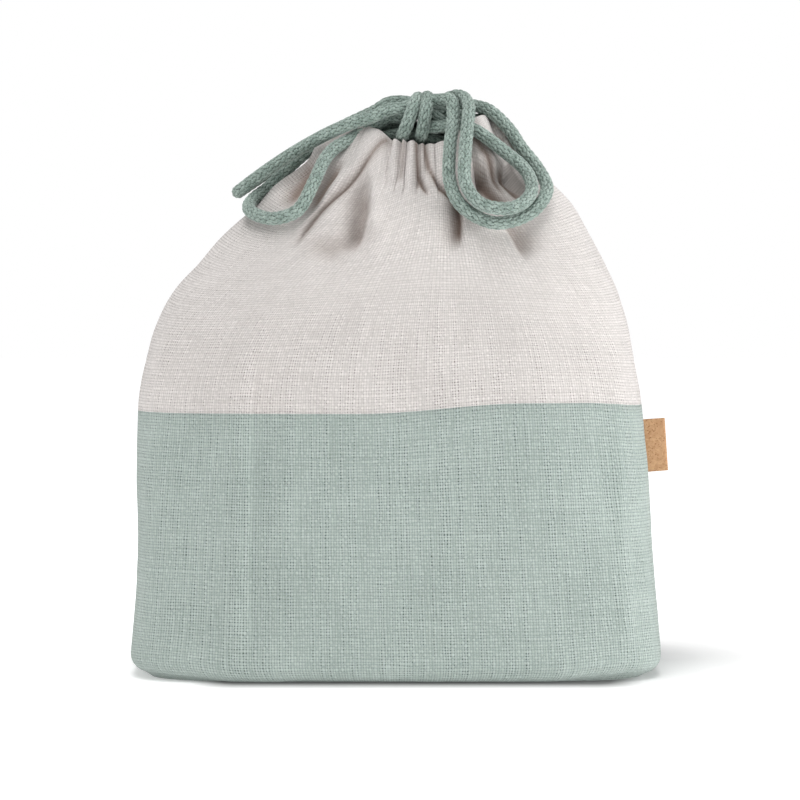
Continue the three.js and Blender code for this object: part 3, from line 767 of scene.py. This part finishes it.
def fold_depth(point):
    """How far the large folds press a point in, and how much painted shade lies there; they end at the
    sides.
    """
    total, dark = 0.0, 0.0
    here = Vector((point.x, point.z))
    for line, left_half, right_half, depth, sharpness, shade in LARGE_FOLDS:
        heights = [z for x, z in line]
        reach = FOLD_REACH * max(left_half, right_half)
        if not min(heights) - reach < point.z < max(heights) + reach:
            continue
        away = FOLD_REACH
        for number, (first, last) in enumerate(zip(line, line[1:])):
            along = Vector(last) - Vector(first)
            to = here - Vector(first)
            share = min(1.0, max(0.0, to.dot(along) / along.length_squared))
            on_left = (along.x * to.y - along.y * to.x) * (last[1] - first[1]) > 0
            apart = (to - along * share).length / (left_half if on_left else right_half)
            if apart < away:
                away, travelled = apart, (number + share) / (len(line) - 1)
        if away == FOLD_REACH:
            continue
        # A fold runs out at its lower end, and at its upper end too if that isn't at the rim.
        near = math.exp(-away ** sharpness) * (1 - smoothstep(*RUN_OUT, travelled))
        if line[0][1] < NEAR_RIM:
            near *= smoothstep(*RUN_IN, travelled)
        total += depth * near
        # Painted shade in the fold's hollow.
        dark = max(dark, shade * near)
    front = (1 - smoothstep(*FOLD_SIDES, point.y)) * smoothstep(*FOLD_FOOT, point.z)
    return total * front, dark * front


print("large folds:", len(LARGE_FOLDS))

# %% [markdown]
# ## Uneven lines
# A filled bag of cloth is nowhere quite even. Its sides are drawn in here and there, the colour change
# runs a little uphill, the front corners don't quite touch the floor, and the rim stands up in humps.

# %% Sides, colour change, corners and rim
# Each hump: its x, half its width to the left and to the right, and how far the rim rises there. It
# fades out down the cloth and towards the back.
RIM_HUMPS = ((-10.5, 7.5, 7.5, 3.0), (32, 9.0, 7.0, 6.0))
HUMP_FOOT, HUMP_BACK = (4, 34), (-4, 4)
# Where a side lies in or out of its even line: left is -1 and right is 1, a height, half of the length
# up the side, and the depth.
SIDE_PULLS = (
    (-1, 48, 32, 1.7), (-1, 122, 14, 0.9), (-1, 161, 8, 1.4), (1, 122, 16, 1.2), (1, 184, 10, -1.8))
# The colour change climbs towards the right of the front and sinks again at its end.
WAIST_WAVE, WAIST_DIP, WAIST_DROP, WAIST_FADE = 4.0, 1.6, 0.5, 30
WAIST_CLIMB, WAIST_SINK = (-14, 50), (72, 98)
# The bottom edge is lifted at the front corners. The pairs say between which x, depths and heights the
# lift sets in or fades.
CORNER_LIFT, CORNER_SIDE, CORNER_FRONT, CORNER_TOP = 1.8, (58, 90), (12, 40), (4, 30)


def side_depth(point, out):
    """How far a point that faces a side is drawn in there."""
    total = 0.0
    for side, height, half, depth in SIDE_PULLS:
        facing = max(0.0, out.x * side) / max(0.01, math.hypot(out.x, out.y))
        total += depth * facing ** 2 * math.exp(-((point.z - height) / half) ** 2)
    return total


def waist_rise(point, run):
    """How far the colour change lies above its even line, fading out up and down the cloth."""
    climb = WAIST_WAVE * smoothstep(*WAIST_CLIMB, point.x)
    rise = climb - WAIST_DIP * smoothstep(*WAIST_SINK, point.x) - WAIST_DROP
    return rise * math.exp(-(run / WAIST_FADE) ** 2)


def corner_lift(point):
    """How far the bottom edge stands off the floor towards the corners of the front."""
    near_corner = smoothstep(*CORNER_SIDE, abs(point.x)) * smoothstep(*CORNER_FRONT, -point.y)
    return CORNER_LIFT * near_corner * (1 - smoothstep(*CORNER_TOP, point.z))


def rim_lift(point, below_rim):
    """How far the front rim rises above its even line at a point."""
    lift = 0.0
    for x, left_half, right_half, rise in RIM_HUMPS:
        half = left_half if point.x < x else right_half
        lift += rise * math.exp(-((point.x - x) / half) ** 4)
    return lift * (1 - smoothstep(*HUMP_FOOT, below_rim)) * (1 - smoothstep(*HUMP_BACK, point.y))


print("the rim rises by", [round(rim_lift(Vector((hump[0], -20, 0)), 0), 1) for hump in RIM_HUMPS], "mm")

# %% [markdown]
# ## Points of the whole loop
# The columns stand close enough that the sharp creases of the pleats hold. For every row the length
# of the smooth outline tells how much the cloth is squeezed there, and so how deep the pleats are.
# Where a cord comes out through its slit in the casing, the edge of the slit gets a painted shadow.

# %% Columns round the bag
COLUMNS = 560


def soft_noise(column, run, size, seed):
    """Smooth noise on the cloth, about -1 to 1, with bumps of a size in millimetres."""
    angle = 2 * math.pi * column
    reach = CLOTH_WIDTH / (2 * math.pi * size)
    return noise.noise(Vector((reach * math.cos(angle), reach * math.sin(angle), run / size + seed)))


def round_the_bag(front_column):
    """Columns all the way round, from a function that gives a column of the front half."""
    columns = []
    for c in range(COLUMNS):
        share = 2 * c / COLUMNS
        points = front_column(even_share(share if share <= 1 else 2 - share))
        if share > 1:
            points = [Vector((p.x, -p.y, p.z)) for p in points]
        columns.append(points)
    return columns

# %% Painted shadow at the cords' slits
# How dark the painted shadow at a slit's edge is, how far from the cord it fades and how far below
# the rim it can lie.
SLIT_SHADE, SLIT_REACH, SLIT_FOOT = 0.9, (3.0, 4.8), 30
exits = (left_exit, left_back_exit, right_exit, right_back_exit)
slits = [[Vector(p) for p in points[:3]] for points in exits]


def slit_painted_shadow(point):
    """How much painted shadow from a cord's slit lies on a point of the cloth."""
    nearest = math.inf
    for route in slits:
        for first, second in zip(route, route[1:]):
            share = geometry.intersect_point_line(point, first, second)[1]
            foot = first.lerp(second, min(1.0, max(0.0, share)))
            nearest = min(nearest, (point - foot).length)
    return SLIT_SHADE * (1 - smoothstep(*SLIT_REACH, nearest))


print("slits:", len(slits))

# %% Points of the upper cloth
RIM_ROW = BELLY_ROWS + CASING_ROWS + RIM_ROWS // 2
# Bumps all over the cloth: how high, how wide and a seed.
CLOTH_BUMPS = ((0.5, 34, 7.7), (0.22, 11, 2.3))
# The casing is too stiff for the large folds, which get their full depth below it.
CASING_FOLD, CASING_END = 0.12, (10, 20)


def dressed(columns, runs, rim_row=None):
    """The cloth on smooth columns, with pleats, folds and soft noise, and its squeeze and painted shade."""
    rows = len(columns[0])
    straight = rim_row - RIM_ROWS // 2 if rim_row else rows
    cloth, marks = [], []
    for c in range(COLUMNS):
        before, here, after = columns[c - 1], columns[c], columns[(c + 1) % COLUMNS]
        points, marked = [], []
        for r in range(rows):
            around = (after[r] - before[r]).normalized()
            up = (here[min(r + 1, rows - 1)] - here[max(r - 1, 0)]).normalized()
            if r > straight:
                up = (here[straight] - here[straight - 1]).normalized()
            out = around.cross(up).normalized()
            depth, slip, lift, squeeze, free = side_depth(here[r], out), 0.0, 0.0, 1.0, 1.0
            if rim_row:
                below = max(0.0, runs[c][rim_row] - runs[c][r]) if r < rim_row else 0.0
                room = (after[min(r, rim_row)] - before[min(r, rim_row)]).length / 2
                squeeze = min(1.0, room * COLUMNS / CLOTH_WIDTH)
                pleat, slip = pleat_offset(c / COLUMNS, below, squeeze)
                depth += pleat
                lift = rim_lift(here[r], below)
                free = mix(CASING_FOLD, 1, smoothstep(*CASING_END, below))
            fold, dark = fold_depth(here[r])
            depth += fold * free
            for height, size, seed in CLOTH_BUMPS:
                depth += height * soft_noise(c / COLUMNS, runs[c][r], size, seed)
            lift += waist_rise(here[r], runs[c][r]) + corner_lift(here[r])
            points.append(here[r] - out * depth + around * slip + Vector((0, 0, lift)))
            if rim_row and below < SLIT_FOOT:
                dark = max(dark, slit_painted_shadow(points[-1]))
            marked.append((squeeze, dark))
        cloth.append(points)
        marks.append(marked)
    return cloth, marks


smooth_upper = round_the_bag(meridian)
upper_runs = [runs_of(column) for column in smooth_upper]
upper_cloth, upper_marks = dressed(smooth_upper, upper_runs, RIM_ROW)
print("upper cloth:", COLUMNS, "columns of", len(upper_cloth[0]))

# %% Points of the lower cloth
WALL_ROWS, EDGE_ROWS, BASE_ROWS = 24, 6, 6


def lower_column(share):
    """One column of the lower front cloth: from the colour change down the wall and under the base."""
    points = []
    for i in range(WALL_ROWS + 1):
        points.append(wall_point(share, mix(WAIST_HEIGHT, BASE_EDGE, i / WALL_ROWS)))
    for i in range(1, EDGE_ROWS + 1):
        turn = math.pi / 2 * i / EDGE_ROWS
        height, inset = BASE_EDGE * (1 - math.sin(turn)), BASE_EDGE * (1 - math.cos(turn))
        points.append(wall_point(share, height, inset))
    foot = points[-1]
    middle = Vector((mix(wall_point(0, 0, BASE_EDGE).x, wall_point(1, 0, BASE_EDGE).x, share), 0, 0))
    points += [foot.lerp(middle, i / BASE_ROWS) for i in range(1, BASE_ROWS + 1)]
    return points[::-1]


smooth_lower = round_the_bag(lower_column)
lower_runs = []
for column in smooth_lower:
    runs = runs_of(column)
    lower_runs.append([run - runs[-1] for run in runs])
lower_cloth, lower_marks = dressed(smooth_lower, lower_runs)
for column in lower_cloth:
    for r in range(BASE_ROWS + 1):
        column[r].z = max(0.0, smooth_lower[0][r].z)
print("lower cloth rows:", len(lower_cloth[0]))

# %% [markdown]
# ## Linen weave
# The cloth is a plain weave of uneven yarn: threads swell and thin out, some are darker, and tiny
# gaps show between them, coloured with painted shade. The weave is worked out from the place on the
# flat cloth, so the threads crowd together where the cloth is gathered. One node group gives the height,
# the gaps and the tone of the threads to both colours of cloth.

# %% Weave node group
WARP = 1.12 * MM
WEFT = 1.16 * MM
WEAVE_VALUES = ("Height", "Gap", "Shade")
THREAD_WOBBLE = 1.1
HOLE_EDGES = (0.72, 0.3)


def make_weave_group():
    """Thread height, open holes and yarn shade of a slubby plain weave, from a place on the cloth."""
    group = bpy.data.node_groups.new("linen_weave", "ShaderNodeTree")
    group.interface.new_socket("Place", in_out="INPUT", socket_type="NodeSocketVector")
    for name in WEAVE_VALUES:
        group.interface.new_socket(name, in_out="OUTPUT", socket_type="NodeSocketFloat")
    source = group.nodes.new("NodeGroupInput")
    target = group.nodes.new("NodeGroupOutput")
    place = source.outputs["Place"]
    split = add_node(group, "ShaderNodeSeparateXYZ", {0: place})

    def work(operation, *values):
        return math_node(group, operation, *values)

    def streaks(along_u, along_v, seed):
        stretched = vector_node(group, "MULTIPLY", place, (along_u, along_v, 1))
        return speckle(group, vector_node(group, "ADD", stretched, (seed, seed, seed)), 1.0, 2.0)

    def threads(across, pitch, wobble):
        count = work("DIVIDE", across, pitch)
        moved = work("MULTIPLY_ADD", work("SUBTRACT", wobble, 0.5), THREAD_WOBBLE, count)
        wave = work("ABSOLUTE", work("SINE", work("MULTIPLY", moved, math.pi)))
        return work("FLOOR", moved), work("ROUND", moved), wave

    def chance(first, second=None):
        inputs, kind = {"W": first}, "1D"
        if second is not None:
            pair = add_node(group, "ShaderNodeCombineXYZ", {0: first, 1: second}).outputs[0]
            inputs, kind = {"Vector": pair}, "2D"
        return add_node(group, "ShaderNodeTexWhiteNoise", inputs, noise_dimensions=kind).outputs[0]

    warp_number, gap_column, warp = threads(split.outputs[0], WARP, streaks(500, 60, 0.0))
    weft_number, gap_row, weft = threads(split.outputs[1], WEFT, streaks(60, 500, 5.3))
    parity = work("PINGPONG", work("ADD", warp_number, weft_number), 1.0)
    warp_over = work("MULTIPLY", warp, work("MULTIPLY_ADD", weft, 0.4, 0.6))
    weft_over = work("MULTIPLY", weft, work("MULTIPLY_ADD", warp, 0.6, 0.4))
    height = mix_value(group, parity, warp_over, weft_over)
    # A hole lies where both threads are low. Holes gather in some columns and in loose patches.
    hole = work("MULTIPLY", ramp(group, warp, *HOLE_EDGES), ramp(group, weft, *HOLE_EDGES))
    loose = work("MULTIPLY_ADD", streaks(150, 50, 3.3), 1.3, chance(gap_column))
    column = work("MULTIPLY_ADD", ramp(group, loose, 0.95, 1.5), 0.75, 0.25)
    uneven = work("MULTIPLY_ADD", chance(gap_column, gap_row), 1.0, 0.45)
    gap = work("MULTIPLY", hole, work("MULTIPLY", column, uneven))
    # Yarns differ, and so do the crossings along one yarn.
    yarn = mix_value(group, parity, chance(warp_number), chance(weft_number))
    slub = work("ADD", streaks(900, 45, 9.1), work("MULTIPLY", streaks(45, 900, 2.7), 0.6))
    crossing = work("MULTIPLY", chance(warp_number, weft_number), work("MULTIPLY", warp, weft))
    fibre = speckle(group, place, 2100.0, 2.0)
    shade = work("MULTIPLY_ADD", yarn, 0.2, work("MULTIPLY", slub, 0.4))
    shade = work("MULTIPLY_ADD", crossing, 0.55, shade)
    shade = work("MULTIPLY_ADD", work("SUBTRACT", fibre, 0.5), 0.9, shade)
    for name, value in zip(WEAVE_VALUES, (height, gap, shade)):
        group.links.new(value, target.inputs[name])
    return group


weave_group = make_weave_group()
print("node group", weave_group.name, len(weave_group.nodes), "nodes")

# %% [markdown]
# ## The two linens
# Both cloths have the same weave. The undyed one is a warm grey white, the other is dyed sage. In a
# gather most threads lie hidden in the pleats, and those on top keep their distance. So the weave is
# laid twice there, once as it was woven and once with only every second thread, and the one gives
# way to the other as the cloth is squeezed.

# %% Linen materials
LINEN = {"Roughness": 0.95, "Specular IOR Level": 0.15, "Sheen Weight": 0.15, "Sheen Roughness": 0.7}
HIDDEN = 2
PAINTED_FOLD_SHADE = 0.88
YARN_RELIEF = 0.4 * MM
# How wide squeezed cloth is against flat cloth: where threads begin to hide, and where holes close.
HIDING, CLOSING, CLOSED = (0.72, 0.52), (0.62, 0.97), 0.3


def make_linen(name, light, dark, gap_shade_colour, fold_shade_colour, relief):
    """A linen: its yarns, the painted shade in its gaps and folds, and how much its threads stand out."""
    material, tree, shader = new_material(name)
    place = add_node(tree, "ShaderNodeUVMap", uv_map="cloth").outputs[0]
    fewer = vector_node(tree, "MULTIPLY", place, (1 / HIDDEN, 1, 1))
    woven = add_node(tree, "ShaderNodeGroup", {"Place": place}, node_tree=weave_group)
    top = add_node(tree, "ShaderNodeGroup", {"Place": fewer}, node_tree=weave_group)
    squeeze = add_node(tree, "ShaderNodeAttribute", attribute_name="squeeze").outputs["Fac"]
    gathered = ramp(tree, squeeze, *HIDING)
    height, gap, shade = (
        mix_value(tree, gathered, woven.outputs[value], top.outputs[value]) for value in WEAVE_VALUES)
    # Where the threads crowd together the holes close.
    gap = math_node(tree, "MULTIPLY", gap, ramp(tree, squeeze, *CLOSING, CLOSED))
    cloud = speckle(tree, place, 38.0, 3.0)
    tone = math_node(tree, "MULTIPLY_ADD", cloud, 0.4, math_node(tree, "SUBTRACT", shade, 0.2))
    tone = math_node(tree, "MINIMUM", math_node(tree, "MAXIMUM", tone, 0.0), 1.0)
    # Painted shade: where the threads lie low, and in the open holes, the colour turns to the dark gap
    # colour.
    low = ramp(tree, height, 0.7, 0.1, 0.0, 0.4 * relief)
    sunk = mix_colour(tree, low, mix_colour(tree, tone, dark, light), gap_shade_colour)
    # Painted shade in the hollows of the folds and round the cords' slits, kept on the cloth as the dark
    # attribute; brownish in the undyed cloth.
    inside = add_node(tree, "ShaderNodeAttribute", attribute_name="dark").outputs["Fac"]
    inside = math_node(tree, "MULTIPLY", inside, PAINTED_FOLD_SHADE)
    colour = mix_colour(tree, inside, mix_colour(tree, gap, sunk, gap_shade_colour), fold_shade_colour)
    finish_shader(tree, shader, colour, height, relief, YARN_RELIEF, LINEN)
    return material


# Each linen: light and dark yarn, the painted shade of its gaps, the painted shade of its folds, and its
# relief.
natural_linen = make_linen(
    "natural_linen", srgb(222, 217, 214), srgb(180, 175, 172), srgb(98, 90, 86),
    srgb(104, 82, 68), 0.34)
sage_linen = make_linen(
    "sage_linen", srgb(183, 194, 189), srgb(136, 149, 143), srgb(68, 82, 76),
    srgb(68, 82, 76), 0.45)
print("made", natural_linen.name, sage_linen.name)

# %% [markdown]
# ## Panels
# Each panel is a grid whose points take their places in the loop. Its map is the flat cloth. A little
# thickness is added on the inside.

# %% Cloth pieces
CLOTH_THICKNESS = 0.8 * MM
HALF = COLUMNS // 2


def cloth_piece(name, loop, runs, marks, first_column, material, *nodes):
    """Half of the loop, from a column on, as a sheet that stands for some solids."""
    maker = bmesh.new()
    layer = maker.loops.layers.uv.new("cloth")
    squeeze_layer = maker.verts.layers.float.new("squeeze")
    # The painted shade of the folds and the slits is kept on each point.
    painted_shade_layer = maker.verts.layers.float.new("dark")
    place = {}
    for vert, along, r in new_grid(maker, HALF, len(loop[0]) - 1):
        c = (first_column + along) % COLUMNS
        across = (first_column + along) / COLUMNS * CLOTH_WIDTH * MM
        place[vert] = (across, runs[c][r] * MM + WEFT / 2)
        vert[squeeze_layer], vert[painted_shade_layer] = marks[c][r]
        vert.co = loop[c][r] * MM
    for face in maker.faces:
        for corner in face.loops:
            corner[layer].uv = place[corner.vert]
    made = piece(name, maker, material, "bag", *nodes)
    thicken(made, CLOTH_THICKNESS, -1)
    return made


for side, first in (("front", 0), ("back", HALF)):
    middle = first + HALF // 2
    lower = cloth_piece(
        side + "_lower_cloth", lower_cloth, lower_runs, lower_marks, first, sage_linen,
        side + "_lower_panel")
    upper = cloth_piece(
        side + "_upper_cloth", upper_cloth, upper_runs, upper_marks, first, natural_linen,
        side + "_upper_panel", side + "_casing")

# %% [markdown]
# ## Seam allowances
# Inside, the cut edges of the cloth stand as narrow doubled strips along the seams. They don't show,
# so each is a plain strip that follows the cloth a little way in.

# %% Seam strips
SEAM_WIDTH, SEAM_DEPTH, SEAM_OVERLAP = 6, 2.6, 1
SEAM_THICKNESS = 1.2 * MM
# Columns that the waist seams leave free at each side, and that a corner seam takes to each side.
WAIST_GAP, CORNER_COLUMNS = 8, 28
SIDE_TOP_ROW = 22
# When a row is moved in, depth counts this much more than width, because the bag is an oval.
OVAL = 2.2
BASE_SEAM_HALF, BASE_SEAM_STEP, BASE_SEAM_HEIGHT = 92, 8, 2.2


def strip_piece(name, lines, material):
    """A strip between two lines of points, with the thickness of a doubled edge."""
    count = len(lines[0]) - 1
    maker = bmesh.new()
    for vert, along, line in new_grid(maker, count, 1):
        vert.co = lines[line][along] * MM
    thicken(piece(name + "_strip", maker, material, "bag", name), SEAM_THICKNESS, 0)


def side_line(column, y):
    """Points up a side seam, moved into the bag and to one side."""
    inward = 1 if column == 0 else -1
    wall = lower_cloth[column][BASE_ROWS + EDGE_ROWS + 2:] + upper_cloth[column][1:SIDE_TOP_ROW]
    return [Vector((p.x + inward * SEAM_DEPTH, y, p.z)) for p in wall]


def level_line(loop, row, first, last, drop):
    """Points along one row of the loop, moved into the bag."""
    points = []
    for c in range(first, last + 1):
        p = loop[c % COLUMNS][row]
        out = Vector((p.x, OVAL * p.y, 0)).normalized()
        points.append(p - out * SEAM_DEPTH - Vector((0, 0, drop)))
    return points


edges = (-SEAM_WIDTH / 2, SEAM_WIDTH / 2)
for name, column in (("left_side_seam", 0), ("right_side_seam", HALF)):
    strip_piece(name, [side_line(column, y) for y in edges], natural_linen)
for name, start in (("front_waist_seam", 0), ("back_waist_seam", HALF)):
    ends = (start + WAIST_GAP, start + HALF - WAIST_GAP)
    lines = [level_line(upper_cloth, 0, *ends, drop) for drop in (SEAM_WIDTH, -SEAM_OVERLAP)]
    strip_piece(name, lines, sage_linen)
for name, middle in (("left_corner_seam", 0), ("right_corner_seam", HALF)):
    ends = (middle - CORNER_COLUMNS, middle + CORNER_COLUMNS)
    drops = (-SEAM_OVERLAP, -SEAM_WIDTH - SEAM_OVERLAP)
    lines = [level_line(lower_cloth, BASE_ROWS + EDGE_ROWS, *ends, drop) for drop in drops]
    strip_piece(name, lines, sage_linen)
base_places = range(-BASE_SEAM_HALF, BASE_SEAM_HALF + 1, BASE_SEAM_STEP)
base_lines = [[Vector((x, y, BASE_SEAM_HEIGHT)) for x in base_places] for y in edges]
strip_piece("base_seam", base_lines, sage_linen)

# %% [markdown]
# ## Cork label
# A strip of thin cork sheet is folded once, and its two ends are caught in the right side seam. The
# fold is at the outer edge, and the two leaves spread a little towards the seam. It is given the points
# where it would bend beside the seam and is left unattached.

# %% Cork material
CORK = {"Roughness": 0.8, "Specular IOR Level": 0.25}
CORK_DARK, CORK_LIGHT, CORK_FLECK = srgb(166, 124, 89), srgb(198, 160, 122), srgb(120, 76, 42)
GRAIN_RELIEF = 0.2 * MM


def make_cork():
    """Pressed cork: warm tan grains with dark flecks."""
    material, tree, shader = new_material("cork")
    place = add_node(tree, "ShaderNodeTexCoord").outputs["Object"]
    grain = add_node(tree, "ShaderNodeTexVoronoi", {"Vector": place, "Scale": 1100.0, "Randomness": 1.0})
    grey = add_node(tree, "ShaderNodeSeparateColor", {0: grain.outputs["Color"]}).outputs[0]
    cloud = speckle(tree, place, 260.0, 3.0)
    tone = math_node(tree, "MULTIPLY_ADD", grey, 0.6, math_node(tree, "MULTIPLY", cloud, 0.5))
    tan = mix_colour(tree, tone, CORK_DARK, CORK_LIGHT)
    fleck = ramp(tree, speckle(tree, place, 1500.0, 2.0), 0.6, 0.7, 0.0, 0.8)
    colour = mix_colour(tree, fleck, tan, CORK_FLECK)
    finish_shader(tree, shader, colour, grey, 0.3, GRAIN_RELIEF, CORK)
    return material


cork = make_cork()
print("made", cork.name)

# %% Cork label
LABEL_FOOT = Vector((99.0, 0, 88.5))
LABEL_UP = Vector((-0.0719, 0, 0.9974))
LABEL_OUT = Vector((0.9974, 0, 0.0719))
LABEL_REACH, LABEL_HEIGHT = 8.6, 21.0
LABEL_FOLD = 0.55
LABEL_COLUMNS, LABEL_ROWS = 44, 24
LEAF_SPREAD = 0.25
LABEL_WAVE, WAVE_LENGTH = 0.25, 6
CORK_THICKNESS = 0.5 * MM
LABEL_BEND = ((99.2, 0, 88.5), (102.4, 0, 88.7))


def label_section(share):
    """Across the folded strip: out along one leaf, round the fold and back along the other."""
    leaf = LABEL_REACH - LABEL_FOLD
    along = share * (2 * leaf + math.pi * LABEL_FOLD)
    if along < leaf:
        return along, LABEL_FOLD + LEAF_SPREAD * (1 - along / leaf)
    if along > leaf + math.pi * LABEL_FOLD:
        back = leaf - (along - leaf - math.pi * LABEL_FOLD)
        return back, -LABEL_FOLD - LEAF_SPREAD * (1 - back / leaf)
    turn = (along - leaf) / LABEL_FOLD
    return leaf + LABEL_FOLD * math.sin(turn), LABEL_FOLD * math.cos(turn)


label_maker = bmesh.new()
for vert, column, row in new_grid(label_maker, LABEL_COLUMNS, LABEL_ROWS):
    out, y = label_section(column / LABEL_COLUMNS)
    height = (row / LABEL_ROWS - 0.5) * LABEL_HEIGHT
    y += LABEL_WAVE * math.sin(height / WAVE_LENGTH) * out / LABEL_REACH
    vert.co = (LABEL_FOOT + LABEL_OUT * out + LABEL_UP * height + Vector((0, -y, 0))) * MM
bmesh.ops.recalc_face_normals(label_maker, faces=label_maker.faces)
label = piece("cork_label_strip", label_maker, cork, "label", "cork_label", bend=LABEL_BEND)
thicken(label, CORK_THICKNESS, 0)

# %% [markdown]
# ## Light and floor
# The bag stands in even, soft light on white. A large lamp overhead is the strongest. A key lamp high
# in front, a little to the left, models the folds, two low ones brighten the sides, and the
# surroundings give the rest.

# %% Lamps and surroundings
# Each lamp: its place, the point that it faces, its size and its power.
LAMPS = {
    "key": ((-0.12, -0.85, 1.25), (0, 0, 0.11), 0.6, 4.4),
    "top": ((0.0, -0.1, 1.3), (0, 0, 0.1), 0.9, 10.0),
    "right": ((0.6, -0.3, 0.05), (0, 0, 0.05), 0.4, 4.6),
    "left": ((-0.6, -0.3, 0.03), (0, 0, 0.03), 0.4, 2.5)}
WHITE = (1, 1, 1, 1)
SKY_LIGHT, SKY_SEEN = 0.22, 1.0

for name, (place, target, size, power) in LAMPS.items():
    data = bpy.data.lights.new(name, "AREA")
    data.size = size
    data.energy = power
    lamp = bpy.data.objects.new(name, data)
    scene.collection.objects.link(lamp)
    lamp.location = place
    lamp.rotation_euler = (Vector(target) - Vector(place)).to_track_quat("-Z", "Y").to_euler()

world = bpy.data.worlds.new("studio")
scene.world = world
world.use_nodes = True
sky = world.node_tree
seen = add_node(sky, "ShaderNodeLightPath").outputs["Is Camera Ray"]
strength = ramp(sky, seen, first=SKY_LIGHT, last=SKY_SEEN)
sky.links.new(strength, sky.nodes["Background"].inputs["Strength"])
sky.nodes["Background"].inputs["Color"].default_value = WHITE
print("lamps:", sorted(LAMPS))

# %% [markdown]
# The floor is white, partly by its own light. To the eye, that light grows away from the bag, so that
# only the soft shadow shows. Where the bag touches the floor, a painted shadow darkens the floor's
# colour, and a wide pale painted shadow lies to the right, dimming both its colour and its own light.
# To the bag, the floor is evenly white and gives a little light back.

# %% Floor
FLOOR_SIZE = 8.0
FLOOR_GLOW, FLOOR_WHITE = 0.2, 0.9
SHADOW_MIDDLE = (0.008, 0, 0)
FOOTPRINT_HALF = (0.068, 0.0435, 0)
# Distances from the footprint, each with the two values that the floor has there. The floor's colour
# ramp near the footprint is a painted contact shadow.
PAINTED_CONTACT_SHADOW = (0.007, 0.02, 0.22, FLOOR_WHITE)
CLOSE_GLOW = (0.007, 0.05, 0.03, 0.4)
WIDE_GLOW = (0.05, 0.26, 0.0, 0.5)
# The middle of the painted shadow to the right, and from there two distances and the share of light
# left.
PAINTED_RIGHT_SHADOW = (0.112, 0.03, 0)
RIGHT_FADE = (0.01, 0.1, 0.66, 1.0)


def make_floor_material():
    """White, with the bag's soft shadow and painted shadows at its foot and to its right, for the eye
    alone.
    """
    material, tree, shader = new_material("white_floor")
    shader.inputs["Roughness"].default_value = 1.0
    shader.inputs["Specular IOR Level"].default_value = 0.0
    shader.inputs["Emission Color"].default_value = WHITE
    from_eye = add_node(tree, "ShaderNodeLightPath").outputs["Is Camera Ray"]
    place = add_node(tree, "ShaderNodeTexCoord").outputs["Object"]
    aside = vector_node(tree, "ABSOLUTE", vector_node(tree, "SUBTRACT", place, SHADOW_MIDDLE))
    beyond = vector_node(tree, "SUBTRACT", aside, FOOTPRINT_HALF)
    beyond = vector_node(tree, "MAXIMUM", beyond, (0, 0, 0))
    far = vector_node(tree, "LENGTH", beyond, result="Value")
    # Painted shadow to the right: it dims both the floor's colour and its own light.
    from_right = vector_node(tree, "DISTANCE", place, PAINTED_RIGHT_SHADOW, result="Value")
    soft = ramp(tree, from_right, *RIGHT_FADE)
    own_light = math_node(tree, "ADD", ramp(tree, far, *CLOSE_GLOW), ramp(tree, far, *WIDE_GLOW))
    own_light = math_node(tree, "MULTIPLY", own_light, soft)
    # Painted contact shadow: the floor's colour darkens where the bag touches it.
    shade = math_node(tree, "MULTIPLY", ramp(tree, far, *PAINTED_CONTACT_SHADOW), soft)
    shade = ramp(tree, from_eye, first=FLOOR_WHITE, last=shade)
    glow = ramp(tree, from_eye, first=FLOOR_GLOW, last=own_light)
    tree.links.new(shade, shader.inputs["Base Color"])
    tree.links.new(glow, shader.inputs["Emission Strength"])
    return material


floor_maker = bmesh.new()
bmesh.ops.create_grid(floor_maker, x_segments=1, y_segments=1, size=FLOOR_SIZE / 2)
floor_mesh = bpy.data.meshes.new("floor")
floor_maker.to_mesh(floor_mesh)
floor_maker.free()
floor_mesh.materials.append(make_floor_material())
floor = bpy.data.objects.new("floor", floor_mesh)
scene.collection.objects.link(floor)
